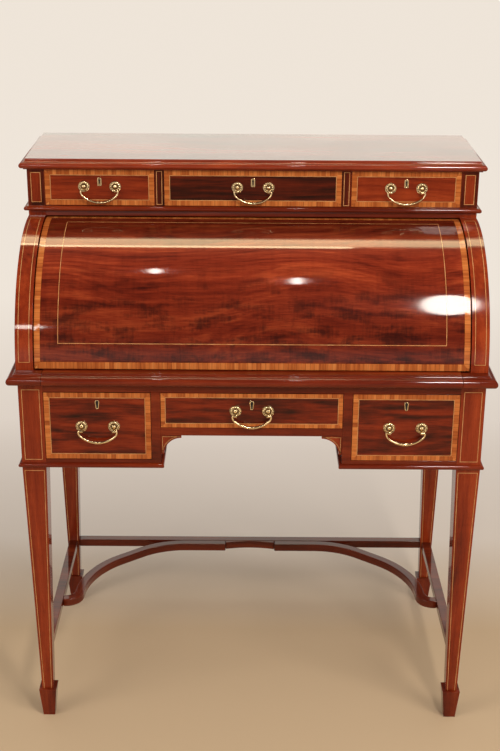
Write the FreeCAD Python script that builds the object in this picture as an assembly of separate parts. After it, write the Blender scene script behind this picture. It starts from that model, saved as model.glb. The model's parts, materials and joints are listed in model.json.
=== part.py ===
import FreeCAD, Part
import math
import os

# A cylinder desk: a curved fall that rolls back over a pull-out writing slide, drawers above and below,
# tapered legs on spade feet and a bowed stretcher. Millimetres, +Z up, floor at Z 0, front towards -Y,
# origin on the floor under the middle of the table.

V = FreeCAD.Vector
X_AXIS = V(1, 0, 0)
Y_AXIS = V(0, 1, 0)

# Curved fall and the depth that follows from it
fall_radius = 245.0
fall_thick = 18.0
fall_side_gap = 1.5
fall_bottom_gap = 1.0
fall_top_lap = 1.0
fall_back_gap = 5.0
open_angle = 76.0
axis_drop = 10.0
case_lip = 4.0
front_ledge = 29.0
case_back_thick = 8.0
table_back_overhang = 4.0

# Widths
table_width = 930.0
table_side_overhang = 19.0
table_front_overhang = 19.0
carcass_back_inset = 3.0
case_inset = 15.0
case_side_thick = 34.0
top_side_overhang = 13.5
top_front_overhang = 13.6
kneehole_width = 351.0
stile_width = 17.5
upper_middle_width = 356.0
upper_divider_thick = 18.0

# Heights
table_height = 780.0
table_thick = 23.0
table_cove = 5.0
top_rail_height = 17.0
pedestal_opening = 140.0
middle_opening = 73.0
middle_rail_height = 16.0
middle_floor_thick = 12.0
floor_thick = 8.0
bed_thick = 12.0
bead_height = 9.0
bead_proud = 6.3
valance_gap = 3.0
valance_height = 11.0
valance_thick = 18.0
upper_floor_thick = 10.0
upper_opening = 74.0
astragal_height = 9.5
astragal_proud = 8.4
top_thick = 21.0
top_fillet = 1.4
top_cove = 5.4
top_foot = 2.2
top_foot_inset = 1.5

# Legs, feet and stretchers
leg_square = 47.0
leg_toe = 23.5
foot_height = 66.0
foot_top = 36.0
foot_toe = 24.0
stretcher_top = 163.0
stretcher_thick = 18.0
stretcher_width = 20.0
bow_width = 20.0
bow_spring_y = -34.0
bow_throat = 31.0
bow_throat_radius = 28.0
bow_shoulder = 39.0
bow_shoulder_run = 131.0
bow_shoulder_radius = 205.0
bow_flat_half = 211.0
bow_flat_radius = 170.0
bow_cusp_half = 58.0
arch_end_depth = 12.0
arch_crown_depth = 4.5

# Carcass boards
rail_thick = 18.0
frieze_thick = 18.0
bracket_reach = 40.0
bracket_tip = 6.0
bracket_thick = 14.0
bracket_setback = 2.0

# Drawers
drawer_gap = 0.6
front_thick = 18.0
lining_thick = 8.0
bottom_thick = 5.0
bottom_lift = 8.0
lining_drop = 12.0
lower_drawer_back_room = 34.0
upper_drawer_back_room = 22.0
upper_handle_lift = 2.5

# Brass handles, locks and keyholes
handle_spacing = 62.4
rosette_radius = 11.75
rosette_rim = 1.2
rosette_dome = 3.4
rosette_waist = 5.04
button_radius = 4.2
button_shoulder = 4.8
button_height = 6.0
shank_radius = 2.5
nut_side = 10.0
nut_thick = 4.0
post_radius = 2.6
post_stand = 9.0
hinge_drop = 7.5
lug_radius = 3.1
lug_length = 6.4
bail_pin_radius = 1.5
hinge_clearance = 0.05
bail_end_gap = 0.5
bail_wire_radius = 1.7
bail_bend = 2.2
bail_hip_radius = 12.0
bail_drop = 24.0
bail_grip_length = 11.0
bail_grip_radius = 2.6
bail_ring_radius = 3.1
bail_ring_length = 2.0
keyhole_drop = 25.3
plate_height = 19.0
plate_width = 9.0
plate_thick = 0.8
lock_width = 44.0
lock_height = 32.0
lock_depth = 9.0

# Writing slide
slide_gap = 0.6
slide_lift = 0.5
slide_front_depth = 22.0
slide_back = 140.0
slide_stop_gap = 3.0
slide_travel = 188.0
bed_side_gap = 1.4
leather_margin = 38.0
leather_front_margin = 33.0
leather_back_margin = 20.0
leather_thick = 1.5

# Iron quadrant arms, yokes and pivots
yoke_thick = 4.0
yoke_gap = 2.6
arm_thick = 5.0
arm_gap = 4.0
hub_radius = 16.0
spoke_width = 14.0
rim_width = 13.0
flange_thick = 3.0
flange_width = 15.0
rim_margin = 3.0
spoke_margin = 8.0
lever_length = 150.0
lever_boss_radius = 9.0
crank_pin_radius = 4.0
crank_pin_end_gap = 0.5
pivot_radius = 4.0
pivot_length = 18.0
pivot_clearance = 0.05
bush_radius = 6.5
bush_length = 16.0
slot_play = 0.4
slot_steps = 38
yoke_margin = 7.5
screw_radius = 1.8
screw_head_radius = 4.0
screw_head_height = 2.0
screw_length = 12.0
screw_shares = (0.12, 0.5, 0.88)

# Fitment of pigeonholes and two small drawers
fit_lift = 2.0
fit_gap = 1.0
fit_clearance = 4.0
fit_front_reach = 54.0
fit_back_reach = 138.0
fit_base_reach = 185.0
fit_base_thick = 8.0
fit_end_thick = 8.0
fit_wall = 6.0
fit_middle_half = 75.0
fit_inner_half = 232.0
small_opening = 52.0
small_gap = 0.8
small_front_thick = 8.0
small_wall = 5.0
small_back_room = 20.0
knob_radius = 6.0
knob_neck_radius = 3.0
knob_neck = 5.0
knob_widest = 7.4
knob_shoulder = 11.0
knob_shoulder_radius = 4.8
knob_length = 12.8

# Places that follow from the sizes above
case_radius = fall_radius + case_lip
fall_inner = fall_radius - fall_thick
table_depth = (front_ledge + case_radius + fall_radius + fall_back_gap
               + case_back_thick + table_back_overhang)
table_half = table_width / 2
table_front = -table_depth / 2
table_back = table_depth / 2
axis_y = table_front + front_ledge + case_radius
axis_z = table_height - axis_drop
case_back_y = axis_y + fall_radius + fall_back_gap
case_back_end = case_back_y + case_back_thick
case_half = table_half - case_inset
case_inner = case_half - case_side_thick
table_under = table_height - table_thick

carcass_half = table_half - table_side_overhang
carcass_front = table_front + table_front_overhang
carcass_back = table_back - carcass_back_inset
leg_inner = carcass_half - leg_square
leg_centre = carcass_half - leg_square / 2
front_leg_y = carcass_front + leg_square / 2
back_leg_y = carcass_back - leg_square / 2
frieze_inner_y = carcass_back - frieze_thick
rail_back = carcass_front + rail_thick
kneehole_half = kneehole_width / 2
pedestal_inner = kneehole_half + stile_width

drawer_top = table_under - top_rail_height
pedestal_floor = drawer_top - pedestal_opening
bead_top = pedestal_floor - floor_thick
frieze_bottom = bead_top - bead_height
middle_floor = drawer_top - middle_opening
middle_rail_bottom = middle_floor - middle_rail_height
bed_bottom = table_under - bed_thick

valance_bottom = axis_z + fall_radius + valance_gap
upper_floor_bottom = valance_bottom + valance_height
upper_floor = upper_floor_bottom + upper_floor_thick
case_top = upper_floor + upper_opening
desk_top = case_top + top_thick
upper_front = axis_y
upper_middle_half = upper_middle_width / 2
upper_divider_outer = upper_middle_half + upper_divider_thick

slide_half = leg_inner - slide_gap
slide_front_end = table_front + slide_front_depth
bed_half = slide_half - bed_side_gap
yoke_outer = slide_half + yoke_thick
arm_inner = yoke_outer + yoke_gap
arm_outer = arm_inner + arm_thick
table_slot_outer = arm_outer + arm_gap
fall_half = case_inner - fall_side_gap
fall_start = math.degrees(math.asin((axis_drop + fall_bottom_gap) / fall_inner))
fall_end = 90.0 + fall_top_lap
flange_inner = arm_outer - flange_width
table_back_front = slide_back + slide_stop_gap

fit_half = flange_inner - fit_gap
fit_radius = fall_inner - flange_thick - fit_clearance
fit_front = axis_y - fit_front_reach
fit_back = axis_y + fit_back_reach
fit_base_bottom = table_height + fit_lift
fit_floor = fit_base_bottom + fit_base_thick
fit_top = axis_z + math.sqrt(fit_radius ** 2 - fit_back_reach ** 2)
fit_ceiling = fit_top - fit_wall
fit_end_inner = fit_half - fit_end_thick
fit_outer_half = fit_inner_half + fit_wall
small_shelf = fit_floor + small_opening


def block(x0, x1, y0, y1, z0, z1):
    """A board between two corners."""
    return Part.makeBox(x1 - x0, y1 - y0, z1 - z0, V(x0, y0, z0))


def mirrored(solid):
    """The same piece on the other side of the middle."""
    return solid.mirror(V(0, 0, 0), X_AXIS)


def pair(solid):
    """A right-hand piece and its left-hand twin."""
    return [solid, mirrored(solid)]


def line(start, end):
    return Part.makeLine(start, end)


def arc(start, middle, end):
    return Part.Arc(start, middle, end).toShape()


def prism(edges, reach):
    """A flat outline carried along a straight line."""
    wire = Part.Wire(Part.sortEdges(edges)[0])
    return Part.Face(wire).extrude(reach)


def polygon(points):
    """The closed run of straight edges through points."""
    return [line(a, b) for a, b in zip(points, points[1:] + points[:1])]


def save(node, solids):
    """Write one node: a single solid, or a group of separate solids."""
    whole = solids[0] if len(solids) == 1 else Part.makeCompound(solids)
    whole.exportStep(os.path.join("parts", node + ".step"))
    state = "ok" if whole.isValid() and all(s.Volume > 0 for s in whole.Solids) else "BAD"
    print(f"{node:28s} solids {len(whole.Solids):2d}  volume {whole.Volume / 1000:10.2f} cm3  {state}")


def profile_edges(path, place):
    """Edges along a moulding's profile of (inset, height) points; a pair of points is an arc's middle and end."""
    edges = []
    here = path[0]
    for step in path[1:]:
        if isinstance(step[0], tuple):
            middle, end = step
            edges.append(arc(place(*here), place(*middle), place(*end)))
        else:
            end = step
            edges.append(line(place(*here), place(*end)))
        here = end
    return edges


def moulded_slab(x0, x1, y0, y1, path):
    """A slab with a moulded front and ends, mitred at the corners; inset 0 is the outermost line."""
    first = path[0]
    last = path[-1][1] if isinstance(path[-1][0], tuple) else path[-1]

    def on_front(inset, z):
        return V(x0, y0 + inset, z)

    def on_left(inset, z):
        return V(x0 + inset, y0, z)

    def on_right(inset, z):
        return V(x1 - inset, y0, z)

    depth = y1 - y0
    front = profile_edges(path, on_front)
    front.append(line(on_front(*first), on_front(depth, first[1])))
    front.append(line(on_front(depth, first[1]), on_front(depth, last[1])))
    front.append(line(on_front(depth, last[1]), on_front(*last)))
    ends = profile_edges(path, on_left) + profile_edges(path, on_right)
    ends.append(line(on_left(*first), on_right(*first)))
    ends.append(line(on_left(*last), on_right(*last)))
    return prism(front, V(x1 - x0, 0, 0)).common(prism(ends, V(0, depth, 0)))


def half_round(top, height):
    """Profile of a half-round bead."""
    radius = height / 2
    return [(radius, top), ((0.0, top - radius), (radius, top - height))]


def around(radius, angle, x):
    """A point about the fall's axis; the angle rises from the front over the top to the back."""
    turn = math.radians(angle)
    return V(x, axis_y - radius * math.cos(turn), axis_z + radius * math.sin(turn))


def sector(r0, r1, a0, a1, x0, x1):
    """Part of a ring about the fall's axis."""
    mid = (a0 + a1) / 2
    edges = [
        arc(around(r1, a0, x0), around(r1, mid, x0), around(r1, a1, x0)),
        line(around(r1, a1, x0), around(r0, a1, x0)),
        arc(around(r0, a1, x0), around(r0, mid, x0), around(r0, a0, x0)),
        line(around(r0, a0, x0), around(r1, a0, x0)),
    ]
    return prism(edges, V(x1 - x0, 0, 0))


def spoke(angle, r0, r1, w0, w1, x0, x1):
    """A flat tapered bar that runs out from the fall's axis."""
    turn = math.radians(angle)
    across = V(0, math.sin(turn), math.cos(turn))
    near = around(r0, angle, x0)
    far = around(r1, angle, x0)
    corners = [near + across * (w0 / 2), far + across * (w1 / 2),
               far - across * (w1 / 2), near - across * (w0 / 2)]
    return prism(polygon(corners), V(x1 - x0, 0, 0))


def rod(start, end, radius):
    """A round rod between two points."""
    run = end - start
    return Part.makeCylinder(radius, run.Length, start, run)


def rounded_path(points, radii):
    """Straight runs through points with a tangent arc at each inner one."""
    edges = []
    start = points[0]
    for before, corner, after, radius in zip(points, points[1:], points[2:], radii):
        back = (before - corner).normalize()
        ahead = (after - corner).normalize()
        half = back.getAngle(ahead) / 2
        reach = radius / math.tan(half)
        inward = (back + ahead).normalize()
        middle = corner + inward * (radius / math.sin(half) - radius)
        edges.append(line(start, corner + back * reach))
        edges.append(arc(corner + back * reach, middle, corner + ahead * reach))
        start = corner + ahead * reach
    edges.append(line(start, points[-1]))
    return edges


def square_wire(x, y, z, side):
    h = side / 2
    return Part.Wire(polygon([V(x - h, y - h, z), V(x + h, y - h, z), V(x + h, y + h, z), V(x - h, y + h, z)]))


def tapered(x, y, z0, side0, z1, side1):
    """A square bar that changes width from one height to another."""
    return Part.makeLoft([square_wire(x, y, z0, side0), square_wire(x, y, z1, side1)], True, True)


def make_leg(x, y):
    """A corner post with its tapered leg below, down to the top of the spade foot."""
    h = leg_square / 2
    post = block(x - h, x + h, y - h, y + h, frieze_bottom, table_under)
    return post.fuse(tapered(x, y, foot_height, leg_toe, frieze_bottom, leg_square)).removeSplitter()


def make_stand():
    """Legs, feet and stretchers."""
    places = {
        "leg_front_left": (-leg_centre, front_leg_y),
        "leg_front_right": (leg_centre, front_leg_y),
        "leg_back_left": (-leg_centre, back_leg_y),
        "leg_back_right": (leg_centre, back_leg_y),
    }
    legs = {}
    for node, (x, y) in places.items():
        legs[node] = make_leg(x, y)
        save(node, [legs[node]])
    save("spade_feet", [tapered(x, y, 0, foot_toe, foot_height, foot_top) for x, y in places.values()])

    half = stretcher_width / 2
    z0 = stretcher_top - stretcher_thick
    all_legs = list(legs.values())
    side = block(leg_centre - half, leg_centre + half, front_leg_y, back_leg_y, z0, stretcher_top).cut(all_legs)
    rear = block(-leg_centre, leg_centre, back_leg_y - half, back_leg_y + half, z0, stretcher_top).cut(all_legs)
    save("straight_stretchers", pair(side.Solids[0]) + [rear.Solids[0]])

    rear_face = back_leg_y - half
    side_face = leg_centre - half
    flat_y = rear_face - bow_width / 2
    mid_z = stretcher_top - stretcher_thick / 2
    plan = [
        V(side_face, bow_spring_y, mid_z),
        V(side_face - bow_throat, bow_spring_y, mid_z),
        V(side_face - bow_shoulder, bow_spring_y + bow_shoulder_run, mid_z),
        V(bow_flat_half, flat_y, mid_z),
        V(bow_cusp_half, flat_y, mid_z),
    ]
    path = Part.Wire(rounded_path(plan, [bow_throat_radius, bow_shoulder_radius, bow_flat_radius]))
    b = bow_width / 2
    section = Part.Wire(polygon([
        V(side_face, bow_spring_y - b, z0),
        V(side_face, bow_spring_y + b, z0),
        V(side_face, bow_spring_y + b, stretcher_top),
        V(side_face, bow_spring_y - b, stretcher_top),
    ]))
    sweep = path.makePipeShell([section], True, False)
    arch = prism([
        line(V(bow_cusp_half, rear_face, z0), V(bow_cusp_half, rear_face - arch_end_depth, z0)),
        arc(V(bow_cusp_half, rear_face - arch_end_depth, z0), V(0, rear_face - arch_crown_depth, z0),
            V(-bow_cusp_half, rear_face - arch_end_depth, z0)),
        line(V(-bow_cusp_half, rear_face - arch_end_depth, z0), V(-bow_cusp_half, rear_face, z0)),
        line(V(-bow_cusp_half, rear_face, z0), V(bow_cusp_half, rear_face, z0)),
    ], V(0, 0, stretcher_thick))
    save("bow_stretcher", pair(sweep) + [arch])


def make_carcass():
    """Friezes, rails, partitions, dust boards and trim round the lower drawers."""
    side = block(carcass_half - frieze_thick, carcass_half, carcass_front + leg_square, carcass_back - leg_square,
                 frieze_bottom, table_under)
    save("frieze_sides", pair(side))
    back = block(-leg_inner, leg_inner, frieze_inner_y, carcass_back, frieze_bottom, table_under)
    save("frieze_back", [back])

    rails = [
        block(-leg_inner, leg_inner, carcass_front, rail_back, drawer_top, table_under),
        block(-kneehole_half, kneehole_half, carcass_front, rail_back, middle_rail_bottom, middle_floor),
    ]
    rails += pair(block(kneehole_half, pedestal_inner, carcass_front, rail_back, frieze_bottom, drawer_top))
    rails += pair(block(pedestal_inner, leg_inner, carcass_front, rail_back, frieze_bottom, pedestal_floor))
    save("front_rails", rails)
    save("kneehole_partitions", pair(
        block(kneehole_half, pedestal_inner, rail_back, frieze_inner_y, frieze_bottom, bed_bottom)))

    boards = pair(block(pedestal_inner, leg_inner, rail_back, frieze_inner_y, bead_top, pedestal_floor))
    boards += pair(block(leg_inner, carcass_half - frieze_thick, carcass_front + leg_square,
                         carcass_back - leg_square, bead_top, pedestal_floor))
    boards.append(block(-kneehole_half, kneehole_half, rail_back, frieze_inner_y,
                        middle_floor - middle_floor_thick, middle_floor))
    boards.append(block(-bed_half, bed_half, rail_back, frieze_inner_y, bed_bottom, table_under))
    save("dust_boards", boards)

    bead = moulded_slab(kneehole_half - bead_proud, carcass_half + bead_proud, carcass_front - bead_proud,
                        carcass_back, half_round(bead_top, bead_height))
    hollow = block(kneehole_half, carcass_half, carcass_front, carcass_back, frieze_bottom, bead_top)
    save("frieze_mouldings", pair(bead.cut([hollow, back])))

    tip = kneehole_half - bracket_reach
    low = middle_rail_bottom - bracket_reach
    sweep = bracket_reach - bracket_tip
    y = carcass_front + bracket_setback
    bend = sweep * math.sqrt(0.5)
    edges = [
        line(V(kneehole_half, y, middle_rail_bottom), V(tip, y, middle_rail_bottom)),
        line(V(tip, y, middle_rail_bottom), V(tip, y, low + sweep)),
        arc(V(tip, y, low + sweep), V(tip + bend, y, low + bend), V(tip + sweep, y, low)),
        line(V(tip + sweep, y, low), V(kneehole_half, y, low)),
        line(V(kneehole_half, y, low), V(kneehole_half, y, middle_rail_bottom)),
    ]
    save("kneehole_brackets", pair(prism(edges, V(0, bracket_thick, 0))))


def table_profile():
    """Flat top, small cove and half-round nose."""
    nose = (table_thick - table_cove) / 2
    bend = table_cove * math.sqrt(0.5)
    return [
        (nose + table_cove, table_height),
        ((nose + bend, table_height - bend), (nose, table_height - table_cove)),
        ((0.0, table_under + nose), (nose, table_under)),
    ]


def top_profile():
    """Fillet and cove down to a half-round nose, and a small foot below the nose."""
    nose = (top_thick - top_fillet - top_cove - top_foot) / 2
    bend = top_cove * math.sqrt(0.5)
    cove_top = desk_top - top_fillet
    nose_bottom = case_top + top_foot
    return [
        (nose + top_cove, desk_top),
        (nose + top_cove, cove_top),
        ((nose + bend, cove_top - bend), (nose, cove_top - top_cove)),
        ((0.0, nose_bottom + nose), (nose, nose_bottom)),
        (nose + top_foot_inset, nose_bottom),
        (nose + top_foot_inset, case_top),
    ]


def crank_slot():
    """Width and middle of the yoke's slot: the crank pin swings, the slide moves in step with the turn."""
    rest = math.radians(open_angle) / 2
    drift = []
    for i in range(slot_steps + 1):
        turn = 2 * rest * i / slot_steps
        pin = lever_length * (math.sin(rest) - math.sin(rest - turn))
        drift.append(slide_travel * i / slot_steps - pin)
    width = 2 * crank_pin_radius + max(drift) - min(drift) + 2 * slot_play
    middle = axis_y + lever_length * math.sin(rest) + (max(drift) + min(drift)) / 2
    return width, middle


def make_table():
    """Moulded table edge, the writing slide that leaves through it, and the pivots in it."""
    slab = moulded_slab(-table_half, table_half, table_front, table_back, table_profile())
    block_end = axis_y - fall_radius - fall_bottom_gap
    front_block = slab.common(block(leg_inner, table_half, table_front, block_end, table_under, table_height))
    side = slab.common(block(table_slot_outer, table_half, block_end, table_back, table_under, table_height))
    pivot = V(table_slot_outer, axis_y, axis_z)
    bush_end = pivot + X_AXIS * bush_length
    side = side.cut(rod(pivot, bush_end, bush_radius))
    rear = block(-table_slot_outer, table_slot_outer, table_back_front, table_back, table_under, table_height)
    save("table_surround", pair(front_block.Solids[0]) + pair(side.Solids[0]) + [rear])
    bush = rod(pivot, bush_end, bush_radius).cut(rod(pivot, bush_end, pivot_radius + pivot_clearance))
    save("pivot_bushes", pair(bush))

    front = slab.common(block(-slide_half, slide_half, table_front, slide_front_end, table_under, table_height))
    save("slide_front", [front.Solids[0]])
    board = block(-slide_half, slide_half, slide_front_end, slide_back, table_under + slide_lift, table_height)
    leather = block(-slide_half + leather_margin, slide_half - leather_margin,
                    slide_front_end + leather_front_margin, slide_back - leather_back_margin,
                    table_height - leather_thick, table_height)
    save("slide_board", [board.cut(leather)])
    save("slide_leather", [leather])

    width, middle = crank_slot()
    rest = math.radians(open_angle) / 2
    pin_low = axis_z - lever_length - crank_pin_radius
    pin_high = axis_z - lever_length * math.cos(rest) + crank_pin_radius
    half = width / 2 + yoke_margin
    yoke = block(slide_half, yoke_outer, middle - half, middle + half, pin_low - yoke_margin,
                 table_height - slide_lift)
    slot = block(slide_half, yoke_outer, middle - width / 2, middle + width / 2, pin_low - slot_play,
                 pin_high + slot_play)
    save("slide_yokes", pair(yoke.cut(slot)))


def make_fall():
    """The curved fall with its iron quadrant arms and their screws."""
    rim_start = fall_start + rim_margin
    rim_end = fall_end - rim_margin
    rest_angle = -90.0 - open_angle / 2
    arm = rod(V(arm_inner, axis_y, axis_z), V(arm_outer, axis_y, axis_z), hub_radius)
    boss = around(lever_length, rest_angle, arm_inner)
    parts = [
        sector(fall_inner - rim_width, fall_inner, rim_start, rim_end, arm_inner, arm_outer),
        sector(fall_inner - flange_thick, fall_inner, rim_start, rim_end, flange_inner, arm_outer),
        spoke(rest_angle, 0, lever_length, 2 * spoke_width, 2 * crank_pin_radius, arm_inner, arm_outer),
        rod(boss, boss + X_AXIS * arm_thick, lever_boss_radius),
        rod(boss - X_AXIS * (arm_inner - slide_half - crank_pin_end_gap), boss, crank_pin_radius),
        rod(V(arm_outer, axis_y, axis_z), V(arm_outer + pivot_length, axis_y, axis_z), pivot_radius),
    ]
    spoke_reach = fall_inner - rim_width / 2
    for angle in (rim_start + spoke_margin, rim_end - spoke_margin):
        parts.append(spoke(angle, 0, spoke_reach, spoke_width, spoke_width, arm_inner, arm_outer))
    arm = arm.fuse(parts).removeSplitter()

    screws = []
    screw_x = (flange_inner + arm_inner) / 2
    head_inner = fall_inner - flange_thick - screw_head_height
    for share in screw_shares:
        angle = rim_start + (rim_end - rim_start) * share
        seat = around(fall_inner - flange_thick, angle, screw_x)
        head = rod(around(head_inner, angle, screw_x), seat, screw_head_radius)
        screws.append(head.fuse(rod(seat, around(fall_inner + screw_length, angle, screw_x), screw_radius)))
    fall = sector(fall_inner, fall_radius, fall_start, fall_end, -fall_half, fall_half)
    both = [twin for screw in screws for twin in pair(screw)]
    save("cylinder_fall", [fall.cut(both)])
    save("quadrant_arms", pair(arm.cut(screws)))
    save("quadrant_screws", both)


def make_case():
    """Curved case sides, back, upper floor with its valance, dividers, astragal and top board."""
    foot = math.degrees(math.asin(axis_drop / case_radius))
    x = case_inner
    spring = around(case_radius, foot, x)
    crown = around(case_radius, 90.0, x)
    corners = [crown, V(x, upper_front, case_top), V(x, case_back_end, case_top),
               V(x, case_back_end, table_height), spring]
    edges = [line(a, b) for a, b in zip(corners, corners[1:])]
    edges.append(arc(spring, around(case_radius, (foot + 90.0) / 2, x), crown))
    side = prism(edges, V(case_side_thick, 0, 0))
    save("case_side_right", [side])
    save("case_side_left", [mirrored(side)])
    save("case_back", [block(-case_inner, case_inner, case_back_y, case_back_end, table_height, case_top)])
    save("upper_floor", [
        block(-case_inner, case_inner, upper_front, case_back_y, upper_floor_bottom, upper_floor),
        block(-case_inner, case_inner, upper_front, upper_front + valance_thick, valance_bottom,
              upper_floor_bottom),
    ])
    save("upper_dividers", pair(
        block(upper_middle_half, upper_divider_outer, upper_front, case_back_y, upper_floor, case_top)))
    astragal = moulded_slab(-case_half - astragal_proud, case_half + astragal_proud, upper_front - astragal_proud,
                            case_back_end, half_round(upper_floor_bottom + astragal_height, astragal_height))
    save("astragal_moulding", [astragal.cut(
        block(-case_half, case_half, upper_front, case_back_end, upper_floor_bottom, upper_floor))])
    save("top_board", [moulded_slab(-case_half - top_side_overhang, case_half + top_side_overhang,
                                    upper_front - top_front_overhang, table_back, top_profile())])


def turned(points, centre, direction):
    """A solid turned about a line: points are (along, radius) from the centre, and close on the line."""
    across = X_AXIS if abs(direction.x) < 0.5 else Y_AXIS
    spots = [centre + direction * along + across * radius for along, radius in points]
    face = Part.Face(Part.Wire(polygon(spots)))
    return face.revolve(centre, direction, 360)


def make_post(x, y, z, back):
    """Rosette, hinge lug, shank and nut of one end of a handle, on a drawer front at y."""
    outward = V(0, -1, 0)
    rosette = turned([(0, 0), (0, rosette_radius), (rosette_rim, rosette_radius),
                      (rosette_dome, rosette_waist), (rosette_dome, button_radius),
                      (button_shoulder, button_radius), (button_height, button_radius / 2),
                      (button_height, 0)], V(x, y, z), outward)
    pivot = V(x, y - post_stand, z - hinge_drop)
    post = rod(V(x, y, z - hinge_drop), pivot, post_radius)
    reach = X_AXIS * (lug_length / 2)
    lug = rod(pivot - reach, pivot + reach, lug_radius)
    shank = rod(V(x, y, z), V(x, back, z), shank_radius)
    n = nut_side / 2
    nut = block(x - n, x + n, back, back + nut_thick, z - n, z + n)
    bore = rod(pivot - reach, pivot + reach, bail_pin_radius + hinge_clearance)
    return rosette.fuse([post, lug, shank, nut]).cut(bore).removeSplitter()


def make_bail(x, y, z):
    """A bail between two hinge lugs: pins, turned-in ends, two tangent arcs a side and a ringed grip."""
    lug_end = handle_spacing / 2 + lug_length / 2
    start = lug_end + bail_end_gap
    half = start + bail_bend
    rise = bail_drop - bail_bend
    side = half - bail_hip_radius
    sweep = (side ** 2 + rise ** 2 - bail_hip_radius ** 2) / (2 * (rise - bail_hip_radius))
    hip = V(x + side, y, z - bail_bend)
    crown = V(x, y, z - bail_drop + sweep)
    meet = hip + (hip - crown).normalize() * bail_hip_radius
    hip_turn = (V(1, 0, 0) + (meet - hip).normalize()).normalize()
    bend_centre = V(x + start, y, z - bail_bend)
    corner = V(1, 0, 1).normalize()
    pin_end = V(x + start, y, z)
    right = [
        arc(pin_end, bend_centre + corner * bail_bend, V(x + half, y, z - bail_bend)),
        arc(V(x + half, y, z - bail_bend), hip + hip_turn * bail_hip_radius, meet),
    ]
    left = [edge.mirror(V(x, 0, 0), X_AXIS) for edge in right]
    low = arc(meet, V(x, y, z - bail_drop), V(2 * x - meet.x, y, meet.z))
    path = Part.Wire(Part.sortEdges(right + [low] + left)[0])
    ring = Part.Wire(Part.makeCircle(bail_wire_radius, pin_end, X_AXIS))
    wire = path.makePipeShell([ring], True, False)
    bottom = V(x, y, z - bail_drop)
    grip = X_AXIS * (bail_grip_length / 2)
    collar = X_AXIS * bail_ring_length
    pieces = [
        rod(V(x + lug_end - lug_length, y, z), V(x + start + bail_bend / 2, y, z), bail_pin_radius),
        rod(V(x - lug_end + lug_length, y, z), V(x - start - bail_bend / 2, y, z), bail_pin_radius),
        rod(bottom - grip, bottom + grip, bail_grip_radius),
        rod(bottom - grip, bottom - grip + collar, bail_ring_radius),
        rod(bottom + grip - collar, bottom + grip, bail_ring_radius),
    ]
    return wire.fuse(pieces).removeSplitter()


def drawer_box(x0, x1, y0, y1, z0, z1, wall, bottom, lift):
    """Two sides, a back and a bottom as separate boards."""
    return [
        block(x0, x0 + wall, y0, y1, z0, z1),
        block(x1 - wall, x1, y0, y1, z0, z1),
        block(x0 + wall, x1 - wall, y1 - wall, y1, z0, z1),
        block(x0 + wall, x1 - wall, y0, y1 - wall, z0 + lift, z0 + lift + bottom),
    ]


def make_drawer(name, x0, x1, y0, y1, z0, z1, handle_lift):
    """A drawer in its opening: front with lock and keyhole, box, brass and bail."""
    left, right = x0 + drawer_gap, x1 - drawer_gap
    low, high = z0 + drawer_gap, z1 - drawer_gap
    inner = y0 + front_thick
    x = (x0 + x1) / 2
    z = (z0 + z1) / 2 + handle_lift
    key_z = z1 - keyhole_drop
    lock = block(x - lock_width / 2, x + lock_width / 2, inner - lock_depth, inner,
                 key_z - lock_height / 2, key_z + lock_height / 2)
    cap = plate_width / 2
    flat = plate_height / 2 - cap
    edges = [
        line(V(x + cap, y0, key_z - flat), V(x + cap, y0, key_z + flat)),
        arc(V(x + cap, y0, key_z + flat), V(x, y0, key_z + flat + cap), V(x - cap, y0, key_z + flat)),
        line(V(x - cap, y0, key_z + flat), V(x - cap, y0, key_z - flat)),
        arc(V(x - cap, y0, key_z - flat), V(x, y0, key_z - flat - cap), V(x + cap, y0, key_z - flat)),
    ]
    escutcheon = prism(edges, V(0, -plate_thick, 0))
    half = handle_spacing / 2
    posts = [make_post(x + side * half, y0, z, inner) for side in (-1, 1)]
    front = block(left, right, y0, inner, low, high).cut([lock] + posts)
    save(name + "_front", [front])
    save(name + "_box", drawer_box(left + drawer_gap, right - drawer_gap, inner, y1, low, high - lining_drop,
                                   lining_thick, bottom_thick, bottom_lift))
    save(name + "_hardware", posts + [lock, escutcheon])
    save(name + "_bail", [make_bail(x, y0 - post_stand, z - hinge_drop)])


def make_drawers():
    """Three drawers below the table and three above the fall."""
    lower_end = frieze_inner_y - lower_drawer_back_room
    upper_end = case_back_y - upper_drawer_back_room
    lower = (carcass_front, lower_end)
    upper = (upper_front, upper_end)
    make_drawer("lower_left_drawer", -leg_inner, -pedestal_inner, *lower, pedestal_floor, drawer_top, 0.0)
    make_drawer("lower_middle_drawer", -kneehole_half, kneehole_half, *lower, middle_floor, drawer_top, 0.0)
    make_drawer("lower_right_drawer", pedestal_inner, leg_inner, *lower, pedestal_floor, drawer_top, 0.0)
    lift = upper_handle_lift
    make_drawer("upper_left_drawer", -case_inner, -upper_divider_outer, *upper, upper_floor, case_top, lift)
    make_drawer("upper_middle_drawer", -upper_middle_half, upper_middle_half, *upper, upper_floor, case_top, lift)
    make_drawer("upper_right_drawer", upper_divider_outer, case_inner, *upper, upper_floor, case_top, lift)


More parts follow.
